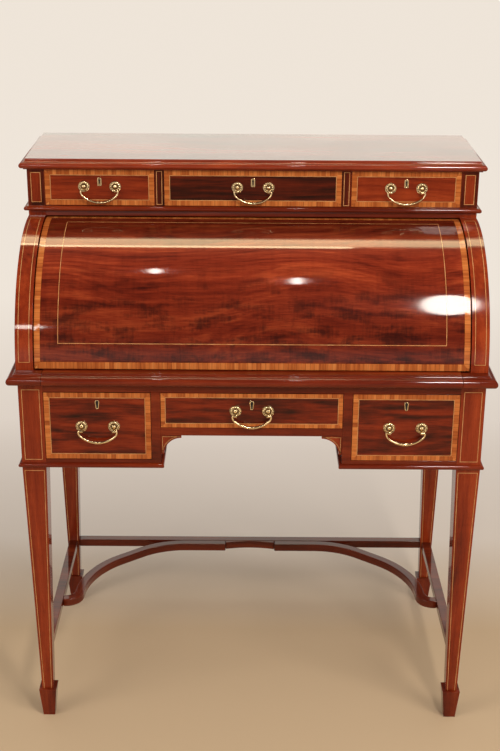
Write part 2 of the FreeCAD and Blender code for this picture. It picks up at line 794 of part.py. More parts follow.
def make_fitment():
    """Pigeonholes behind the fall, on a base that bridges the slide, and two small drawers."""
    base_back = axis_y + fit_base_reach
    wall = fit_wall
    inner_back = fit_back - wall
    middle_shelf = (fit_floor + fit_ceiling - wall) / 2
    outer_middle = (fit_outer_half + fit_end_inner) / 2
    boards = [
        block(-fit_half, fit_half, table_back_front, base_back, table_height, fit_base_bottom),
        block(-fit_half, fit_half, fit_front, base_back, fit_base_bottom, fit_floor),
        block(-fit_half, fit_half, fit_front, fit_back, fit_ceiling, fit_top),
        block(-fit_end_inner, fit_end_inner, inner_back, fit_back, fit_floor, fit_ceiling),
    ]
    boards += pair(block(fit_end_inner, fit_half, fit_front, fit_back, fit_floor, fit_ceiling))
    boards += pair(block(fit_middle_half, fit_middle_half + wall, fit_front, inner_back, fit_floor, fit_ceiling))
    boards += pair(block(fit_inner_half, fit_outer_half, fit_front, inner_back, fit_floor, fit_ceiling))
    boards += pair(block(fit_middle_half + wall, fit_inner_half, fit_front, inner_back,
                         middle_shelf, middle_shelf + wall))
    boards += pair(block(fit_outer_half, fit_end_inner, fit_front, inner_back, small_shelf, small_shelf + wall))
    boards += pair(block(outer_middle - wall / 2, outer_middle + wall / 2, fit_front, inner_back,
                         small_shelf + wall, fit_ceiling))
    save("pigeonhole_fitment", boards)

    x0, x1 = fit_outer_half + small_gap, fit_end_inner - small_gap
    z0, z1 = fit_floor + small_gap, small_shelf - small_gap
    inner = fit_front + small_front_thick
    drawer = [block(x0, x1, fit_front, inner, z0, z1)]
    drawer += drawer_box(x0, x1, inner, inner_back - small_back_room, z0, z1, small_wall, small_wall, 0.0)
    knob = turned([(0, 0), (0, knob_neck_radius), (knob_neck, knob_neck_radius),
                   (knob_widest, knob_radius), (knob_shoulder, knob_shoulder_radius), (knob_length, 0)],
                  V((x0 + x1) / 2, fit_front, (z0 + z1) / 2), V(0, -1, 0))
    save("small_drawer_right", drawer)
    save("small_drawer_left", [mirrored(board) for board in drawer])
    save("small_knob_right", [knob])
    save("small_knob_left", [mirrored(knob)])


os.makedirs("parts", exist_ok=True)
make_stand()
make_carcass()
make_table()
make_fall()
make_case()
make_drawers()
make_fitment()
print(f"table {table_width:.1f} wide, {table_depth:.1f} deep, desk {desk_top:.1f} high")
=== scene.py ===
# %% [markdown]
# # A cylinder desk in mahogany, satinwood and brass
# The desk arrives as a imported frame: every board, drawer and pivot at its real size, in metres, each
# riding on the body that moves it. What is left to do is everything the eye enjoys: figured veneers, bands
# and strings of inlay, smooth mouldings, cast brass and a deep polish. We load the frame first. Nothing
# that is added later may make the desk larger.

# %% The frame
import json

import bmesh
import bpy
import numpy as np
from mathutils import Matrix, Vector


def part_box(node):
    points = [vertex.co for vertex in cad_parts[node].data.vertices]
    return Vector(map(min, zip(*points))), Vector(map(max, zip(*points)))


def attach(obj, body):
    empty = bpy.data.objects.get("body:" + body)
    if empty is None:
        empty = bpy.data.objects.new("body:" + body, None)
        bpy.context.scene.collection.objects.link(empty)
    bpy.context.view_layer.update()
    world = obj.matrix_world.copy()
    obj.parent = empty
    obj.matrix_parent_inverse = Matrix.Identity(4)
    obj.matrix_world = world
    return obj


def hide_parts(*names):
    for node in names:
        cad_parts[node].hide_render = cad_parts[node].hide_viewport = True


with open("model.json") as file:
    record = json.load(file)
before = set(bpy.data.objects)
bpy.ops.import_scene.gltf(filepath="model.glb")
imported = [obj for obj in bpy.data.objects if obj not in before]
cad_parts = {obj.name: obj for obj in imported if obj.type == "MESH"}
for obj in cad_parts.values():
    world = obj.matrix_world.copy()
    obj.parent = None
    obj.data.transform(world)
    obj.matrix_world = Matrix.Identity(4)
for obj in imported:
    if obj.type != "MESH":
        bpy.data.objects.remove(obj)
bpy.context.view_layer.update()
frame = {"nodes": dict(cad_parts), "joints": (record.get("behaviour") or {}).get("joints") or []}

nodes = frame["nodes"]
joints = {joint["name"]: joint for joint in frame["joints"]}

# %% [markdown]
# ## Camera
# The picture was taken from a standing height, looking a little down at the front. A camera could be
# turned by eye until it fits, but the desk's own right angles give it exactly: one place, a pitch, and
# a very small yaw and roll. The focal length is in pixels of a tall frame, so the lens follows from the
# frame's longer side.

# %% Camera
frame_height_px = 751
focal_px = 1335.58
camera_place = Vector((-0.01006, -2.6109, 1.6945))
pitch, yaw, roll = np.radians([21.26, 0.15, 0.42])
forward = Vector((np.sin(yaw) * np.cos(pitch), np.cos(yaw) * np.cos(pitch), -np.sin(pitch)))
level = Vector((np.cos(yaw), -np.sin(yaw), 0.0))
upright = level.cross(forward)
camera_right = level * np.cos(roll) + upright * np.sin(roll)
camera_up = upright * np.cos(roll) - level * np.sin(roll)

camera = bpy.data.objects.new("camera", bpy.data.cameras.new("camera"))
bpy.context.scene.collection.objects.link(camera)
camera.data.sensor_width = 36.0
camera.data.lens = focal_px / frame_height_px * camera.data.sensor_width
turn = Matrix((camera_right, camera_up, -forward)).transposed().to_4x4()
camera.matrix_world = Matrix.Translation(camera_place) @ turn
bpy.context.scene.camera = camera
bpy.context.scene.view_settings.view_transform = "Standard"
print("camera lens", round(camera.data.lens, 2), "mm")

# %% [markdown]
# ## Materials from nodes
# A material is a small graph: textures make numbers, ramps turn numbers into colours, and one shader
# takes the result. Wiring that by hand is long, so a few helpers add a node, set what is constant and
# link what comes from another node.

# %% Node helpers
def new_material(name):
    """A material with its node tree and its main shader."""
    material = bpy.data.materials.new(name)
    material.use_nodes = True
    return material, material.node_tree, material.node_tree.nodes["Principled BSDF"]


def add(tree, kind, inputs=None, **options):
    """A node with its options set; each input is a constant, or a socket to link from."""
    made = tree.nodes.new(kind)
    for key, value in options.items():
        setattr(made, key, value)
    for key, value in (inputs or {}).items():
        if isinstance(value, bpy.types.NodeSocket):
            tree.links.new(value, made.inputs[key])
        else:
            made.inputs[key].default_value = value
    return made


def ramp(tree, factor, stops):
    """Colours spread along a number: stops are (position, colour), a grey may be one number."""
    made = add(tree, "ShaderNodeValToRGB", {"Fac": factor})
    elements = made.color_ramp.elements
    while len(elements) < len(stops):
        elements.new(0.5)
    for element, (position, colour) in zip(elements, stops):
        element.position = position
        element.color = (*colour, 1.0) if np.ndim(colour) else (colour, colour, colour, 1.0)
    return made.outputs["Color"]

print("node helpers ready")

# %% [markdown]
# Colours and numbers are then multiplied, weighed and added up. Blender has a node for each such sum,
# and these helpers make a chain of them read as the sum does. The noise helper stretches a cloudy
# pattern differently on each axis, which is how grain gets its direction.

# %% Sums and noise
def multiplied(tree, factor, first, second):
    """A colour times another, as far as the factor says."""
    inputs = {0: factor, 6: first, 7: second}
    made = add(tree, "ShaderNodeMix", inputs, data_type="RGBA", blend_type="MULTIPLY")
    return made.outputs[2]


def maths(tree, operation, first, second=0.0, third=0.0):
    """One sum on numbers or sockets."""
    return add(tree, "ShaderNodeMath", {0: first, 1: second, 2: third}, operation=operation).outputs[0]


def weighed(tree, pairs):
    """The sum of several numbers, each times its weight."""
    total = 0.0
    for number, weight in pairs:
        total = maths(tree, "MULTIPLY_ADD", number, weight, total)
    return total


def noise(tree, vector, scale, detail=2.0, rough=0.5, distortion=0.0):
    """Cloudy noise on a vector stretched by three scales."""
    stretched = add(tree, "ShaderNodeMapping", {"Vector": vector, "Scale": scale}).outputs[0]
    settings = {"Vector": stretched, "Scale": 1.0, "Detail": detail, "Roughness": rough,
                "Distortion": distortion}
    return add(tree, "ShaderNodeTexNoise", settings).outputs["Fac"]


def place_on(tree, source):
    """Where a pattern is measured: the object's own axes, its UV map, or a named attribute of the mesh."""
    if source in ("Object", "UV"):
        return add(tree, "ShaderNodeTexCoord").outputs[source]
    return add(tree, "ShaderNodeAttribute", attribute_name=source).outputs["Vector"]

print("sums and noise ready")

# %% [markdown]
# ## Mahogany
# Mahogany is a red-brown wood with soft streaks along the grain, a ribbon of light and dark where the
# fibres lean, and short dark pores. Photographs of boards would repeat and would not turn with the
# grain; noise that is stretched along the grain does both, at its real scale. A slow waver bends the
# streaks, as growth lines bend on a real board. Over it lies French polish: a clear coat, thin and
# almost mirror smooth.

# %% Grain helpers
ALONG_X, ALONG_Y, ALONG_Z = 0, 1, 2
# Waves in a metre along the grain and across it.
RIBBON, FIBRES, BARS, PORES = (5.0, 110.0), (22.0, 900.0), (48.0, 12.0), (90.0, 2400.0)
CLOUDS, FEATHERS, SLOW_WAVER = (13.0, 38.0), (170.0, 28.0), (2.4, 5.0)


def stretch(axis, along, across):
    """Scales for a noise that is long on one axis."""
    scale = [across, across, across]
    scale[axis] = along
    return tuple(scale)


def polished(shader, depth=1.36):
    """French polish: a thin clear coat with a sharp reflection over the wood's own faint shine."""
    shader.inputs["Specular IOR Level"].default_value = 0.02
    shader.inputs["Coat Weight"].default_value = 1.0
    shader.inputs["Coat Roughness"].default_value = 0.06
    shader.inputs["Coat IOR"].default_value = depth


def wavered(tree, where, axis, amount):
    """The pattern's place, pushed sideways by a slow noise so that straight streaks bend."""
    push = noise(tree, where, stretch(axis, *SLOW_WAVER), 1.0)
    centred = maths(tree, "MULTIPLY_ADD", push, amount, -amount / 2)
    sideways = stretch(axis, 0.0, 1.0)
    shift = add(tree, "ShaderNodeVectorMath", {0: sideways, 3: centred}, operation="SCALE").outputs[0]
    return add(tree, "ShaderNodeVectorMath", {0: where, 1: shift}, operation="ADD").outputs[0]


def mottled(tree, colour, where, axis, low, high):
    """A colour with soft dark clouds, feathered across the grain, that fade between two places on X."""
    cloud = noise(tree, where, stretch(axis, *CLOUDS), 4.0, 0.6, 0.3)
    feather = noise(tree, where, stretch(axis, *FEATHERS), 2.0, 0.5, 0.3)
    shade = weighed(tree, [(cloud, 0.80), (feather, 0.20)])
    across = add(tree, "ShaderNodeSeparateXYZ", {0: where}).outputs["X"]
    limits = {"Value": across, "From Min": low, "From Max": high, "To Min": 0.85, "To Max": 0.0}
    fade = add(tree, "ShaderNodeMapRange", limits, interpolation_type="SMOOTHSTEP").outputs[0]
    return multiplied(tree, fade, colour, ramp(tree, shade, [(0.38, (0.24, 0.30, 0.50)), (0.53, 1.0)]))

print("grain helpers ready")

# %% [markdown]
# The wood itself is a sum of four noises: broad streaks, a finer ribbon, fibres, and faint bars across the
# grain. A ramp turns the sum into colour, from the darkest streak to the lightest. Figure may change that
# colour along the piece, painted light and shade may brighten or darken it, and pores put short dark flecks
# on it.

# %% Wood
def wood(name, tones, axis, source="Object", streaks=0.55, streak_size=(1.6, 24.0), waver=0.05, painted_light=None,
         mottle=None, polish=1.36):
    """Wood with its grain on one axis.

    Tones run from the darkest streak to the lightest; the painted light is a length on X and the brightness
    at shares of it, light and shade painted along the piece; mottle gives the two places on X between which
    dark clouds fade; polish is the depth of the clear coat, or nought for bare wood.
    """
    material, tree, shader = new_material(name)
    where = place_on(tree, source)
    bent = wavered(tree, where, axis, waver)
    streak = noise(tree, bent, stretch(axis, *streak_size), 3.0, 0.55, 0.3)
    ribbon = noise(tree, bent, stretch(axis, *RIBBON), 2.0, 0.5, 0.2)
    fibre = noise(tree, where, stretch(axis, *FIBRES), 2.0)
    bars = noise(tree, where, stretch(axis, *BARS), 2.0, 0.5, 0.4)
    rest = 1.0 - streaks
    tone = weighed(tree, [(streak, streaks), (ribbon, rest * 0.48), (fibre, rest * 0.40),
                          (bars, rest * 0.12)])
    colour = ramp(tree, tone, list(zip(np.linspace(0.36, 0.62, len(tones)), tones)))
    if mottle:
        colour = mottled(tree, colour, where, axis, *mottle)
    # Painted light and shade: a ramp along X brightens or darkens the colour.
    if painted_light:
        length, stops = painted_light
        share = maths(tree, "DIVIDE", add(tree, "ShaderNodeSeparateXYZ", {0: where}).outputs["X"], length)
        colour = multiplied(tree, 1.0, colour, ramp(tree, share, stops))
    pore = noise(tree, where, stretch(axis, *PORES), 1.0)
    flecks = ramp(tree, pore, [(0.30, 0.45), (0.42, 1.0)])
    tree.links.new(multiplied(tree, 0.6, colour, flecks), shader.inputs["Base Color"])
    worn = noise(tree, where, (9.0, 9.0, 9.0), 3.0)
    tree.links.new(ramp(tree, worn, [(0.3, 0.30), (0.7, 0.42)]), shader.inputs["Roughness"])
    if polish:
        polished(shader, polish)
    bump = add(tree, "ShaderNodeBump", {"Height": pore, "Strength": 0.08, "Distance": 0.0002})
    tree.links.new(bump.outputs[0], shader.inputs["Normal"])
    return material

print("wood helper ready")

# %% [markdown]
# Each part of the desk was cut from a board of its own, so each has its own tones and its own size of
# streaks. The fall and the drawer fronts are veneered with livelier figure than the rails, the
# stretchers are browner, and the linings of the drawers are a pale wood without polish. One material
# for all would be quicker, but then the desk would look moulded from one lump.

# %% The woods of this desk
RED_TONES = [(0.045, 0.0050, 0.0018), (0.105, 0.0105, 0.0030),
             (0.155, 0.0165, 0.0040), (0.220, 0.0300, 0.0070)]
BRIGHT_TONES = [(0.085, 0.0090, 0.0028), (0.165, 0.0170, 0.0044),
                (0.230, 0.0260, 0.0060), (0.310, 0.0440, 0.0100)]
DARK_TONES = [(0.022, 0.0036, 0.0020), (0.078, 0.0080, 0.0027),
              (0.160, 0.0150, 0.0036), (0.230, 0.0260, 0.0060)]
DEEP_TONES = [(0.010, 0.0020, 0.0013), (0.036, 0.0044, 0.0020),
              (0.082, 0.0084, 0.0027), (0.135, 0.0140, 0.0040)]
FALL_TONES = [(0.078, 0.0070, 0.0030), (0.172, 0.0165, 0.0054),
              (0.255, 0.0290, 0.0088), (0.385, 0.0580, 0.0160)]
BROWN_TONES = [(0.040, 0.0060, 0.0026), (0.090, 0.0115, 0.0042),
               (0.130, 0.0175, 0.0060), (0.185, 0.0300, 0.0095)]
PALE_TONES = [(0.30, 0.17, 0.075), (0.42, 0.26, 0.13), (0.52, 0.34, 0.18)]

mahogany_x = wood("mahogany_grain_x", RED_TONES, ALONG_X)
mahogany_y = wood("mahogany_grain_y", RED_TONES, ALONG_Y)
mahogany_z = wood("mahogany_grain_z", BRIGHT_TONES, ALONG_Z)
foot_wood = wood("foot_wood", RED_TONES, ALONG_Z)
mahogany_run = wood("mahogany_along_run", RED_TONES, ALONG_X, "straight")
top_veneer = wood("top_veneer", BRIGHT_TONES, ALONG_X, streak_size=(1.8, 16.0), waver=0.12, polish=1.50)
side_veneer = wood("upper_side_veneer", BRIGHT_TONES, ALONG_X, streaks=0.45, streak_size=(5.0, 60.0),
                   waver=0.06)
deep_veneer = wood("upper_middle_veneer", DEEP_TONES, ALONG_X, streaks=0.60, streak_size=(4.0, 44.0),
                   waver=0.06)
divider_wood = wood("divider_wood", DEEP_TONES, ALONG_Z)
stretcher_wood = wood("stretcher_wood", BROWN_TONES, ALONG_X)
bow_wood = wood("bow_wood", BROWN_TONES, ALONG_X, "straight")
drawer_veneer = wood("lower_veneer", DARK_TONES, ALONG_X, streaks=0.62, streak_size=(9.0, 62.0), waver=0.03)
# Length of the fall's face round its curve, and painted light and shade at shares of that length: brighter
# on the shoulder that faces up to the lamps, darker at the foot and darkest at the head, in the shade under
# the upper case.
fall_arc = 0.377
fall_painted_light = [(0.0, 0.58), (0.33, 0.68), (0.60, 0.98), (0.70, 0.90), (0.80, 0.46), (1.0, 0.40)]
fall_veneer = wood("fall_veneer", FALL_TONES, ALONG_Y, "straight", 0.40, (1.6, 30.0), 0.16,
                   (fall_arc, fall_painted_light), (0.08, 0.26))
lining_wood = wood("drawer_lining", PALE_TONES, ALONG_Y, polish=0.0)
print("woods:", [material.name for material in bpy.data.materials])

# %% [markdown]
# ## Inlay woods
# The bands round the drawers are satinwood cut across the grain, laid in short lengths, so they show
# fine stripes from edge to edge and small steps of tone. Those follow each band round its corners,
# which only the band's own UV map knows: U runs along the band in metres, V across it. The strings are
# boxwood, pale and close grained, between hairlines of dyed black wood.

# %% Satinwood, boxwood and black string
def satinwood(name, length):
    """Cross-cut satinwood: tone steps and a dark seam every length along it, fine stripes across it."""
    material, tree, shader = new_material(name)
    where = place_on(tree, "UV")
    block = add(tree, "ShaderNodeVectorMath", {0: where, 1: (length, 1.0, 1.0)}, operation="SNAP")
    step = add(tree, "ShaderNodeTexWhiteNoise", {"Vector": block.outputs[0]}, noise_dimensions="2D")
    soft = noise(tree, where, (120.0, 8.0, 1.0), 2.0, 0.6)
    stripe = noise(tree, where, (420.0, 18.0, 1.0), 2.0, 0.6)
    tone = weighed(tree, [(step.outputs["Value"], 0.22), (soft, 0.50), (stripe, 0.28)])
    colour = ramp(tree, tone, [(0.26, (0.20, 0.036, 0.008)), (0.42, (0.37, 0.088, 0.018)),
                               (0.54, (0.50, 0.142, 0.031)), (0.72, (0.64, 0.235, 0.064))])
    along = add(tree, "ShaderNodeSeparateXYZ", {0: where}).outputs["X"]
    from_seam = maths(tree, "PINGPONG", along, length / 2)
    seam = ramp(tree, maths(tree, "MULTIPLY", from_seam, 2.0 / length), [(0.0, 0.50), (0.30, 1.0)])
    tree.links.new(multiplied(tree, 0.6, colour, seam), shader.inputs["Base Color"])
    shader.inputs["Roughness"].default_value = 0.35
    polished(shader)
    return material


def string_wood(name, dark, light):
    """A thin line of plain wood with a little drift of tone."""
    material, tree, shader = new_material(name)
    drift = noise(tree, place_on(tree, "Object"), (60.0, 60.0, 60.0), 3.0)
    tree.links.new(ramp(tree, drift, [(0.35, dark), (0.65, light)]), shader.inputs["Base Color"])
    shader.inputs["Roughness"].default_value = 0.4
    polished(shader)
    return material


satinwood_band = satinwood("satinwood_crossband", 0.0085)
boxwood = string_wood("boxwood_string", (0.50, 0.20, 0.065), (0.66, 0.31, 0.12))
black_string = string_wood("black_string", (0.012, 0.006, 0.004), (0.030, 0.014, 0.009))
print("inlay woods made")

# %% [markdown]
# ## Brass, iron and leather
# The handles are cast, chased and polished brass under old lacquer: bright on the high places and browner in
# the hollows. A hollow is known where the surface is made, so the handle meshes carry a number called
# patina, and the brass reads it. The hidden ironwork is blackened, and the writing surface is a green hide
# with a fine pebbled grain. The opening of each keyhole is a near-black sheet on the front: painted shade
# where the hole would be.

# %% Metals, leather and the painted shade of a keyhole
def brass_finish(name, bright, aged, smooth, dull):
    """Polished metal that browns and dulls where the mesh attribute patina is high."""
    material, tree, shader = new_material(name)
    hollow = add(tree, "ShaderNodeAttribute", attribute_name="patina").outputs["Fac"]
    cloud = noise(tree, place_on(tree, "Object"), (180.0, 180.0, 180.0), 3.0)
    age = weighed(tree, [(hollow, 0.85), (cloud, 0.22)])
    tree.links.new(ramp(tree, age, [(0.10, bright), (0.75, aged)]), shader.inputs["Base Color"])
    tree.links.new(ramp(tree, age, [(0.10, smooth), (0.80, dull)]), shader.inputs["Roughness"])
    shader.inputs["Metallic"].default_value = 1.0
    return material


def dull_finish(name, dark, light, roughness, scale, grain=0.0, metal=0.0):
    """A matt or grained surface: cloudy tone, and a pebbled bump of the given depth."""
    material, tree, shader = new_material(name)
    where = place_on(tree, "Object")
    cloud = noise(tree, where, (scale, scale, scale), 4.0)
    tree.links.new(ramp(tree, cloud, [(0.3, dark), (0.7, light)]), shader.inputs["Base Color"])
    shader.inputs["Roughness"].default_value = roughness
    shader.inputs["Metallic"].default_value = metal
    if grain:
        pebble = add(tree, "ShaderNodeTexVoronoi", {"Vector": where, "Scale": 900.0}, feature="SMOOTH_F1")
        height = {"Height": pebble.outputs["Distance"], "Strength": 0.35, "Distance": grain}
        tree.links.new(add(tree, "ShaderNodeBump", height).outputs[0], shader.inputs["Normal"])
    return material


brass = brass_finish("polished_brass", (0.96, 0.75, 0.44), (0.13, 0.070, 0.022), 0.17, 0.45)
gilt = brass_finish("gilt_line", (0.78, 0.55, 0.20), (0.40, 0.24, 0.07), 0.30, 0.50)
iron = dull_finish("blackened_iron", (0.020, 0.018, 0.017), (0.060, 0.050, 0.044), 0.55, 60.0, metal=0.6)
leather = dull_finish("green_hide", (0.008, 0.030, 0.014), (0.018, 0.055, 0.026), 0.42, 14.0, grain=0.0004)
# The opening of a keyhole: a near-black finish for a plate of painted shade where the hole would be.
keyhole_painted_shade = dull_finish("keyhole_painted_shade", (0.002, 0.002, 0.002), (0.008, 0.006, 0.005), 0.8, 300.0)
print("metals and leather made")

# %% [markdown]
# ## Surfaces from arrays
# A turned, swept or moulded piece is easiest to say as a formula on a grid: rows along the piece,
# columns round its profile. numpy works out all the points at once, and the mesh takes them in one
# call. A shape here is three things: points, faces, and one row of numbers for each point that its
# finish reads. For wood those are the straightened place, how far along and across the piece the point
# lies, so that grain can follow a bend as steamed wood does. For brass it is the patina.

# %% Grids
def grid_faces(rows, columns, wrap=False):
    """Quads between the points of a rows by columns grid; wrap joins the last column to the first."""
    steps = columns if wrap else columns - 1
    row, column = np.mgrid[0:rows - 1, 0:steps]
    beside = (column + 1) % columns
    start = row * columns
    corners = [start + column, start + beside, start + columns + beside, start + columns + column]
    return np.stack(corners, axis=-1).reshape(-1, 4).tolist()


def capped_faces(rows, columns):
    """A grid closed round its columns, with one face at each end."""
    last = (rows - 1) * columns
    return grid_faces(rows, columns, wrap=True) + [list(range(columns)), list(range(last, last + columns))]

print("grid helpers ready")

# %% [markdown]
# A moulding, a rail and a bead are each one section carried along a way. Blender's curves can do that
# with a bevel, but the section then leans as the curve thinks best. Here every station gives its own
# two directions, so the section stands as the joiner holds the plane.

# %% Sweeps
def distance_along(path):
    """The distance from the first point of a path to each of its points."""
    steps = np.linalg.norm(np.diff(path, axis=0), axis=1)
    return np.concatenate([[0.0], np.cumsum(steps)])


def carried(stations, across, up, profile, closed=True):
    """A profile carried along a path.

    Point (i, j) is stations[i] + across[i] * profile[j, 0] + up[i] * profile[j, 1]; its straightened
    place is the distance along the path and the two profile numbers. A closed profile gets a face at
    each end.
    """
    points = stations[:, None] + across[:, None] * profile[None, :, :1] + up[:, None] * profile[None, :, 1:]
    rows, columns = points.shape[:2]
    faces = capped_faces(rows, columns) if closed else grid_faces(rows, columns)
    along = np.repeat(distance_along(stations)[:, None], columns, 1)
    straight = np.dstack([along, np.tile(profile[None, :, :], (rows, 1, 1))])
    return points.reshape(-1, 3), faces, straight.reshape(-1, 3)


def joined(*shapes):
    """Several shapes as one: their points in a row, with face numbers moved on."""
    shifts = np.cumsum([0] + [len(shape[0]) for shape in shapes[:-1]]).tolist()
    faces = [[corner + shift for corner in face] for shape, shift in zip(shapes, shifts)
             for face in shape[1]]
    return np.vstack([shape[0] for shape in shapes]), faces, np.vstack([shape[2] for shape in shapes])


def same(direction, count):
    """One direction, given at each of several stations."""
    return np.tile(direction, (count, 1))


def extruded(outline, axis, start, end):
    """An outline in the other two axes, carried along one axis; its straightened place is its place."""
    ways = np.eye(3)
    first, second = np.delete(ways, axis, axis=0)
    stations = np.outer([start, end], ways[axis])
    points, faces, _ = carried(stations, same(first, 2), same(second, 2), outline)
    return points, faces, points.copy()

print("sweep helpers ready")

# %% [markdown]
# Mouldings turn corners with mitres, as a joiner cuts them. Each run could be made straight and
# trimmed, but if the profile is pushed out along the corner's own bisector, by just enough to keep its
# width, the mitre comes by itself.

# %% Outlines and mouldings
def arc_points(centre, radius, start, end, steps):
    """Points on a circle: centre + radius * (cos, sin) of angles from start to end in degrees."""
    angle = np.radians(np.linspace(start, end, steps + 1))
    return np.column_stack([centre[0] + radius * np.cos(angle), centre[1] + radius * np.sin(angle)])


def sides_of(path):
    """Side vectors of an open plan path, to the left of its direction.

    At a corner the sides before and after are added and divided by one plus their dot product, which keeps
    the profile's width through the mitre.
    """
    run = np.diff(path, axis=0)
    run = run / np.linalg.norm(run, axis=1, keepdims=True)
    side = np.column_stack([-run[:, 1], run[:, 0]])
    before = np.vstack([side[:1], side])
    after = np.vstack([side, side[-1:]])
    return (before + after) / (1.0 + (before * after).sum(axis=1, keepdims=True))


def moulding(path, profile, closed=True):
    """A profile of (inset, height) carried round a plan path with mitred corners."""
    flat = np.zeros((len(path), 1))
    upward = same([0.0, 0.0, 1.0], len(path))
    return carried(np.hstack([path, flat]), np.hstack([sides_of(path), flat]), upward, profile, closed)


def three_sides(x0, x1, y0, y1):
    """The plan path round the left end, front and right end of a slab."""
    return np.array([[x0, y1], [x0, y0], [x1, y0], [x1, y1]])

print("moulding helpers ready")

# %% [markdown]
# ## From a shape to a finished piece
# The arrays become a mesh; doubled points at seams are merged and every face is turned outwards, because a
# face that looks inwards bakes black. Then the piece gets its finish and is tied to the body that carries
# it, and the plain nodes it stands for are hidden.

# %% Finished pieces
def clean(mesh):
    """Merge doubled points and turn every face outwards."""
    work = bmesh.new()
    work.from_mesh(mesh)
    bmesh.ops.remove_doubles(work, verts=work.verts, dist=1e-7)
    bmesh.ops.recalc_face_normals(work, faces=work.faces)
    work.to_mesh(mesh)
    work.free()


FINE_ARRIS, EDGE_ARRIS, BOARD_ARRIS = 0.0003, 0.0004, 0.0006


def soften(piece, width):
    """A narrow rounded arris on every sharp edge."""
    bevel = piece.modifiers.new("arris", "BEVEL")
    bevel.width = width
    bevel.segments = 2
    bevel.limit_method = "ANGLE"
    bevel.angle_limit = np.radians(40.0)
    bevel.harden_normals = True


def finished(name, shape, material, body, replaces=(), arris=0.0, banded=False):
    """A mesh object at the origin with its finish, riding on a body, standing for the nodes it replaces."""
    points, faces, finish = shape
    mesh = bpy.data.meshes.new(name)
    mesh.from_pydata(points.tolist(), [], faces)
    if finish.shape[1] == 1:
        mesh.attributes.new("patina", "FLOAT", "POINT").data.foreach_set("value", finish.ravel())
    else:
        mesh.attributes.new("straight", "FLOAT_VECTOR", "POINT").data.foreach_set("vector", finish.ravel())
    if banded:
        corners = np.concatenate([np.asarray(face) for face in faces])
        mesh.uv_layers.new(name="band").data.foreach_set("uv", finish[corners, :2].ravel())
    clean(mesh)
    mesh.shade_smooth()
    mesh.set_sharp_from_angle(angle=np.radians(35.0))
    mesh.materials.append(material)
    piece = bpy.data.objects.new(name, mesh)
    bpy.context.scene.collection.objects.link(piece)
    if arris:
        soften(piece, arris)
    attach(piece, body)
    if replaces:
        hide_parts(*replaces)
    return piece

print("finishing helper ready")

# %% [markdown]
# ## The top board
# The top's edge steps down by a fillet and a small cove to a half-round nose, and a small foot below
# the nose meets the case. A bevel modifier would round the edge but not cut the cove, so the edge is
# one profile carried round three sides with mitres; the first and last points of the profile are also
# the corners of the flat top and underside, so three more faces close the board.

# %% Top board
case_lo, case_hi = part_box("case_side_left")
top_lo, top_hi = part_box("top_board")
top_fillet, top_cove, top_nose, top_step = 0.0014, 0.0054, 0.0060, 0.0075


def top_edge_profile(steps=14):
    """Fillet and quarter cove from the flat top to a half-round nose, then a small foot to the case."""
    nose_top = top_hi.z - top_fillet - top_cove
    cove = arc_points((top_nose, nose_top + top_cove), top_cove, 0.0, -90.0, steps)
    nose = arc_points((top_nose, nose_top - top_nose), top_nose, 90.0, 270.0, 2 * steps)
    below = [[top_step, nose_top - 2 * top_nose], [top_step, top_lo.z]]
    return np.vstack([[[top_nose + top_cove, top_hi.z]], cove, nose[1:], below])


def moulded_board(lo, hi, profile):
    """A moulded edge round three sides, closed by the top, the underside and the back."""
    points, faces, _ = moulding(three_sides(lo.x, hi.x, lo.y, hi.y), profile, closed=False)
    columns = len(profile)
    first = np.arange(4) * columns
    left_end, right_end = list(range(columns)), list(range(3 * columns, 4 * columns))
    faces += [first.tolist(), (first + columns - 1).tolist(), left_end + right_end[::-1]]
    return points, faces, points.copy()


top_shape = moulded_board(top_lo, top_hi, top_edge_profile())
finished("top_board_moulded", top_shape, top_veneer, "root", ["top_board"], arris=FINE_ARRIS)
print("top board", [round(v, 3) for v in top_hi - top_lo])

# %% [markdown]
# ## The table edge and the writing slide's front
# At writing height a cove and a half-round nose run round three sides of the table. The middle of the
# front moves: it is the front of the writing slide, and shows a joint at each end. The same profile is
# therefore carried along three paths: two that turn a corner and stop at the joint, and a straight one
# that rides with the slide. The flat boards inside the moulding have the plan of a U.

# %% Table edge
table_lo, table_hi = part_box("table_surround")
slide_lo, slide_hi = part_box("slide_front")
leg_lo, leg_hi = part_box("leg_front_right")
joint_x = leg_lo.x
# Width of the moulded border, half the slide's opening, and the front of the piece behind it.
ledge, side_inner, rear_front = 0.032, 0.414, 0.143
table_cove = 0.005


def nose_profile(depth, steps=16):
    """Flat top, quarter cove, half-round nose and flat underside, closed at depth."""
    nose = (table_hi.z - table_lo.z - table_cove) / 2
    cove = arc_points((nose, table_hi.z), table_cove, 0.0, -90.0, steps // 2)
    round_nose = arc_points((nose, table_lo.z + nose), nose, 90.0, 270.0, steps)
    return np.vstack([[[depth, table_hi.z]], cove, round_nose[1:], [[depth, table_lo.z]]])


left_path = np.array([[table_lo.x, table_hi.y], [table_lo.x, table_lo.y], [-joint_x, table_lo.y]])
right_path = np.array([[joint_x, table_lo.y], [table_hi.x, table_lo.y], [table_hi.x, table_hi.y]])
edge_shape = joined(moulding(left_path, nose_profile(ledge)), moulding(right_path, nose_profile(ledge)))
finished("table_edge", edge_shape, mahogany_run, "root", ["table_surround"], arris=EDGE_ARRIS)
board_x, board_front = table_hi.x - ledge, table_lo.y + ledge
u_plan = np.array([[side_inner, board_front], [board_x, board_front], [board_x, table_hi.y],
                   [-board_x, table_hi.y], [-board_x, board_front], [-side_inner, board_front],
                   [-side_inner, rear_front], [side_inner, rear_front]])
board_shape = extruded(u_plan, ALONG_Z, table_lo.z, table_hi.z)
finished("table_boards", board_shape, mahogany_run, "root", ["table_surround"],
         arris=EDGE_ARRIS)
slide_path = np.array([[slide_lo.x, slide_lo.y], [slide_hi.x, slide_lo.y]])
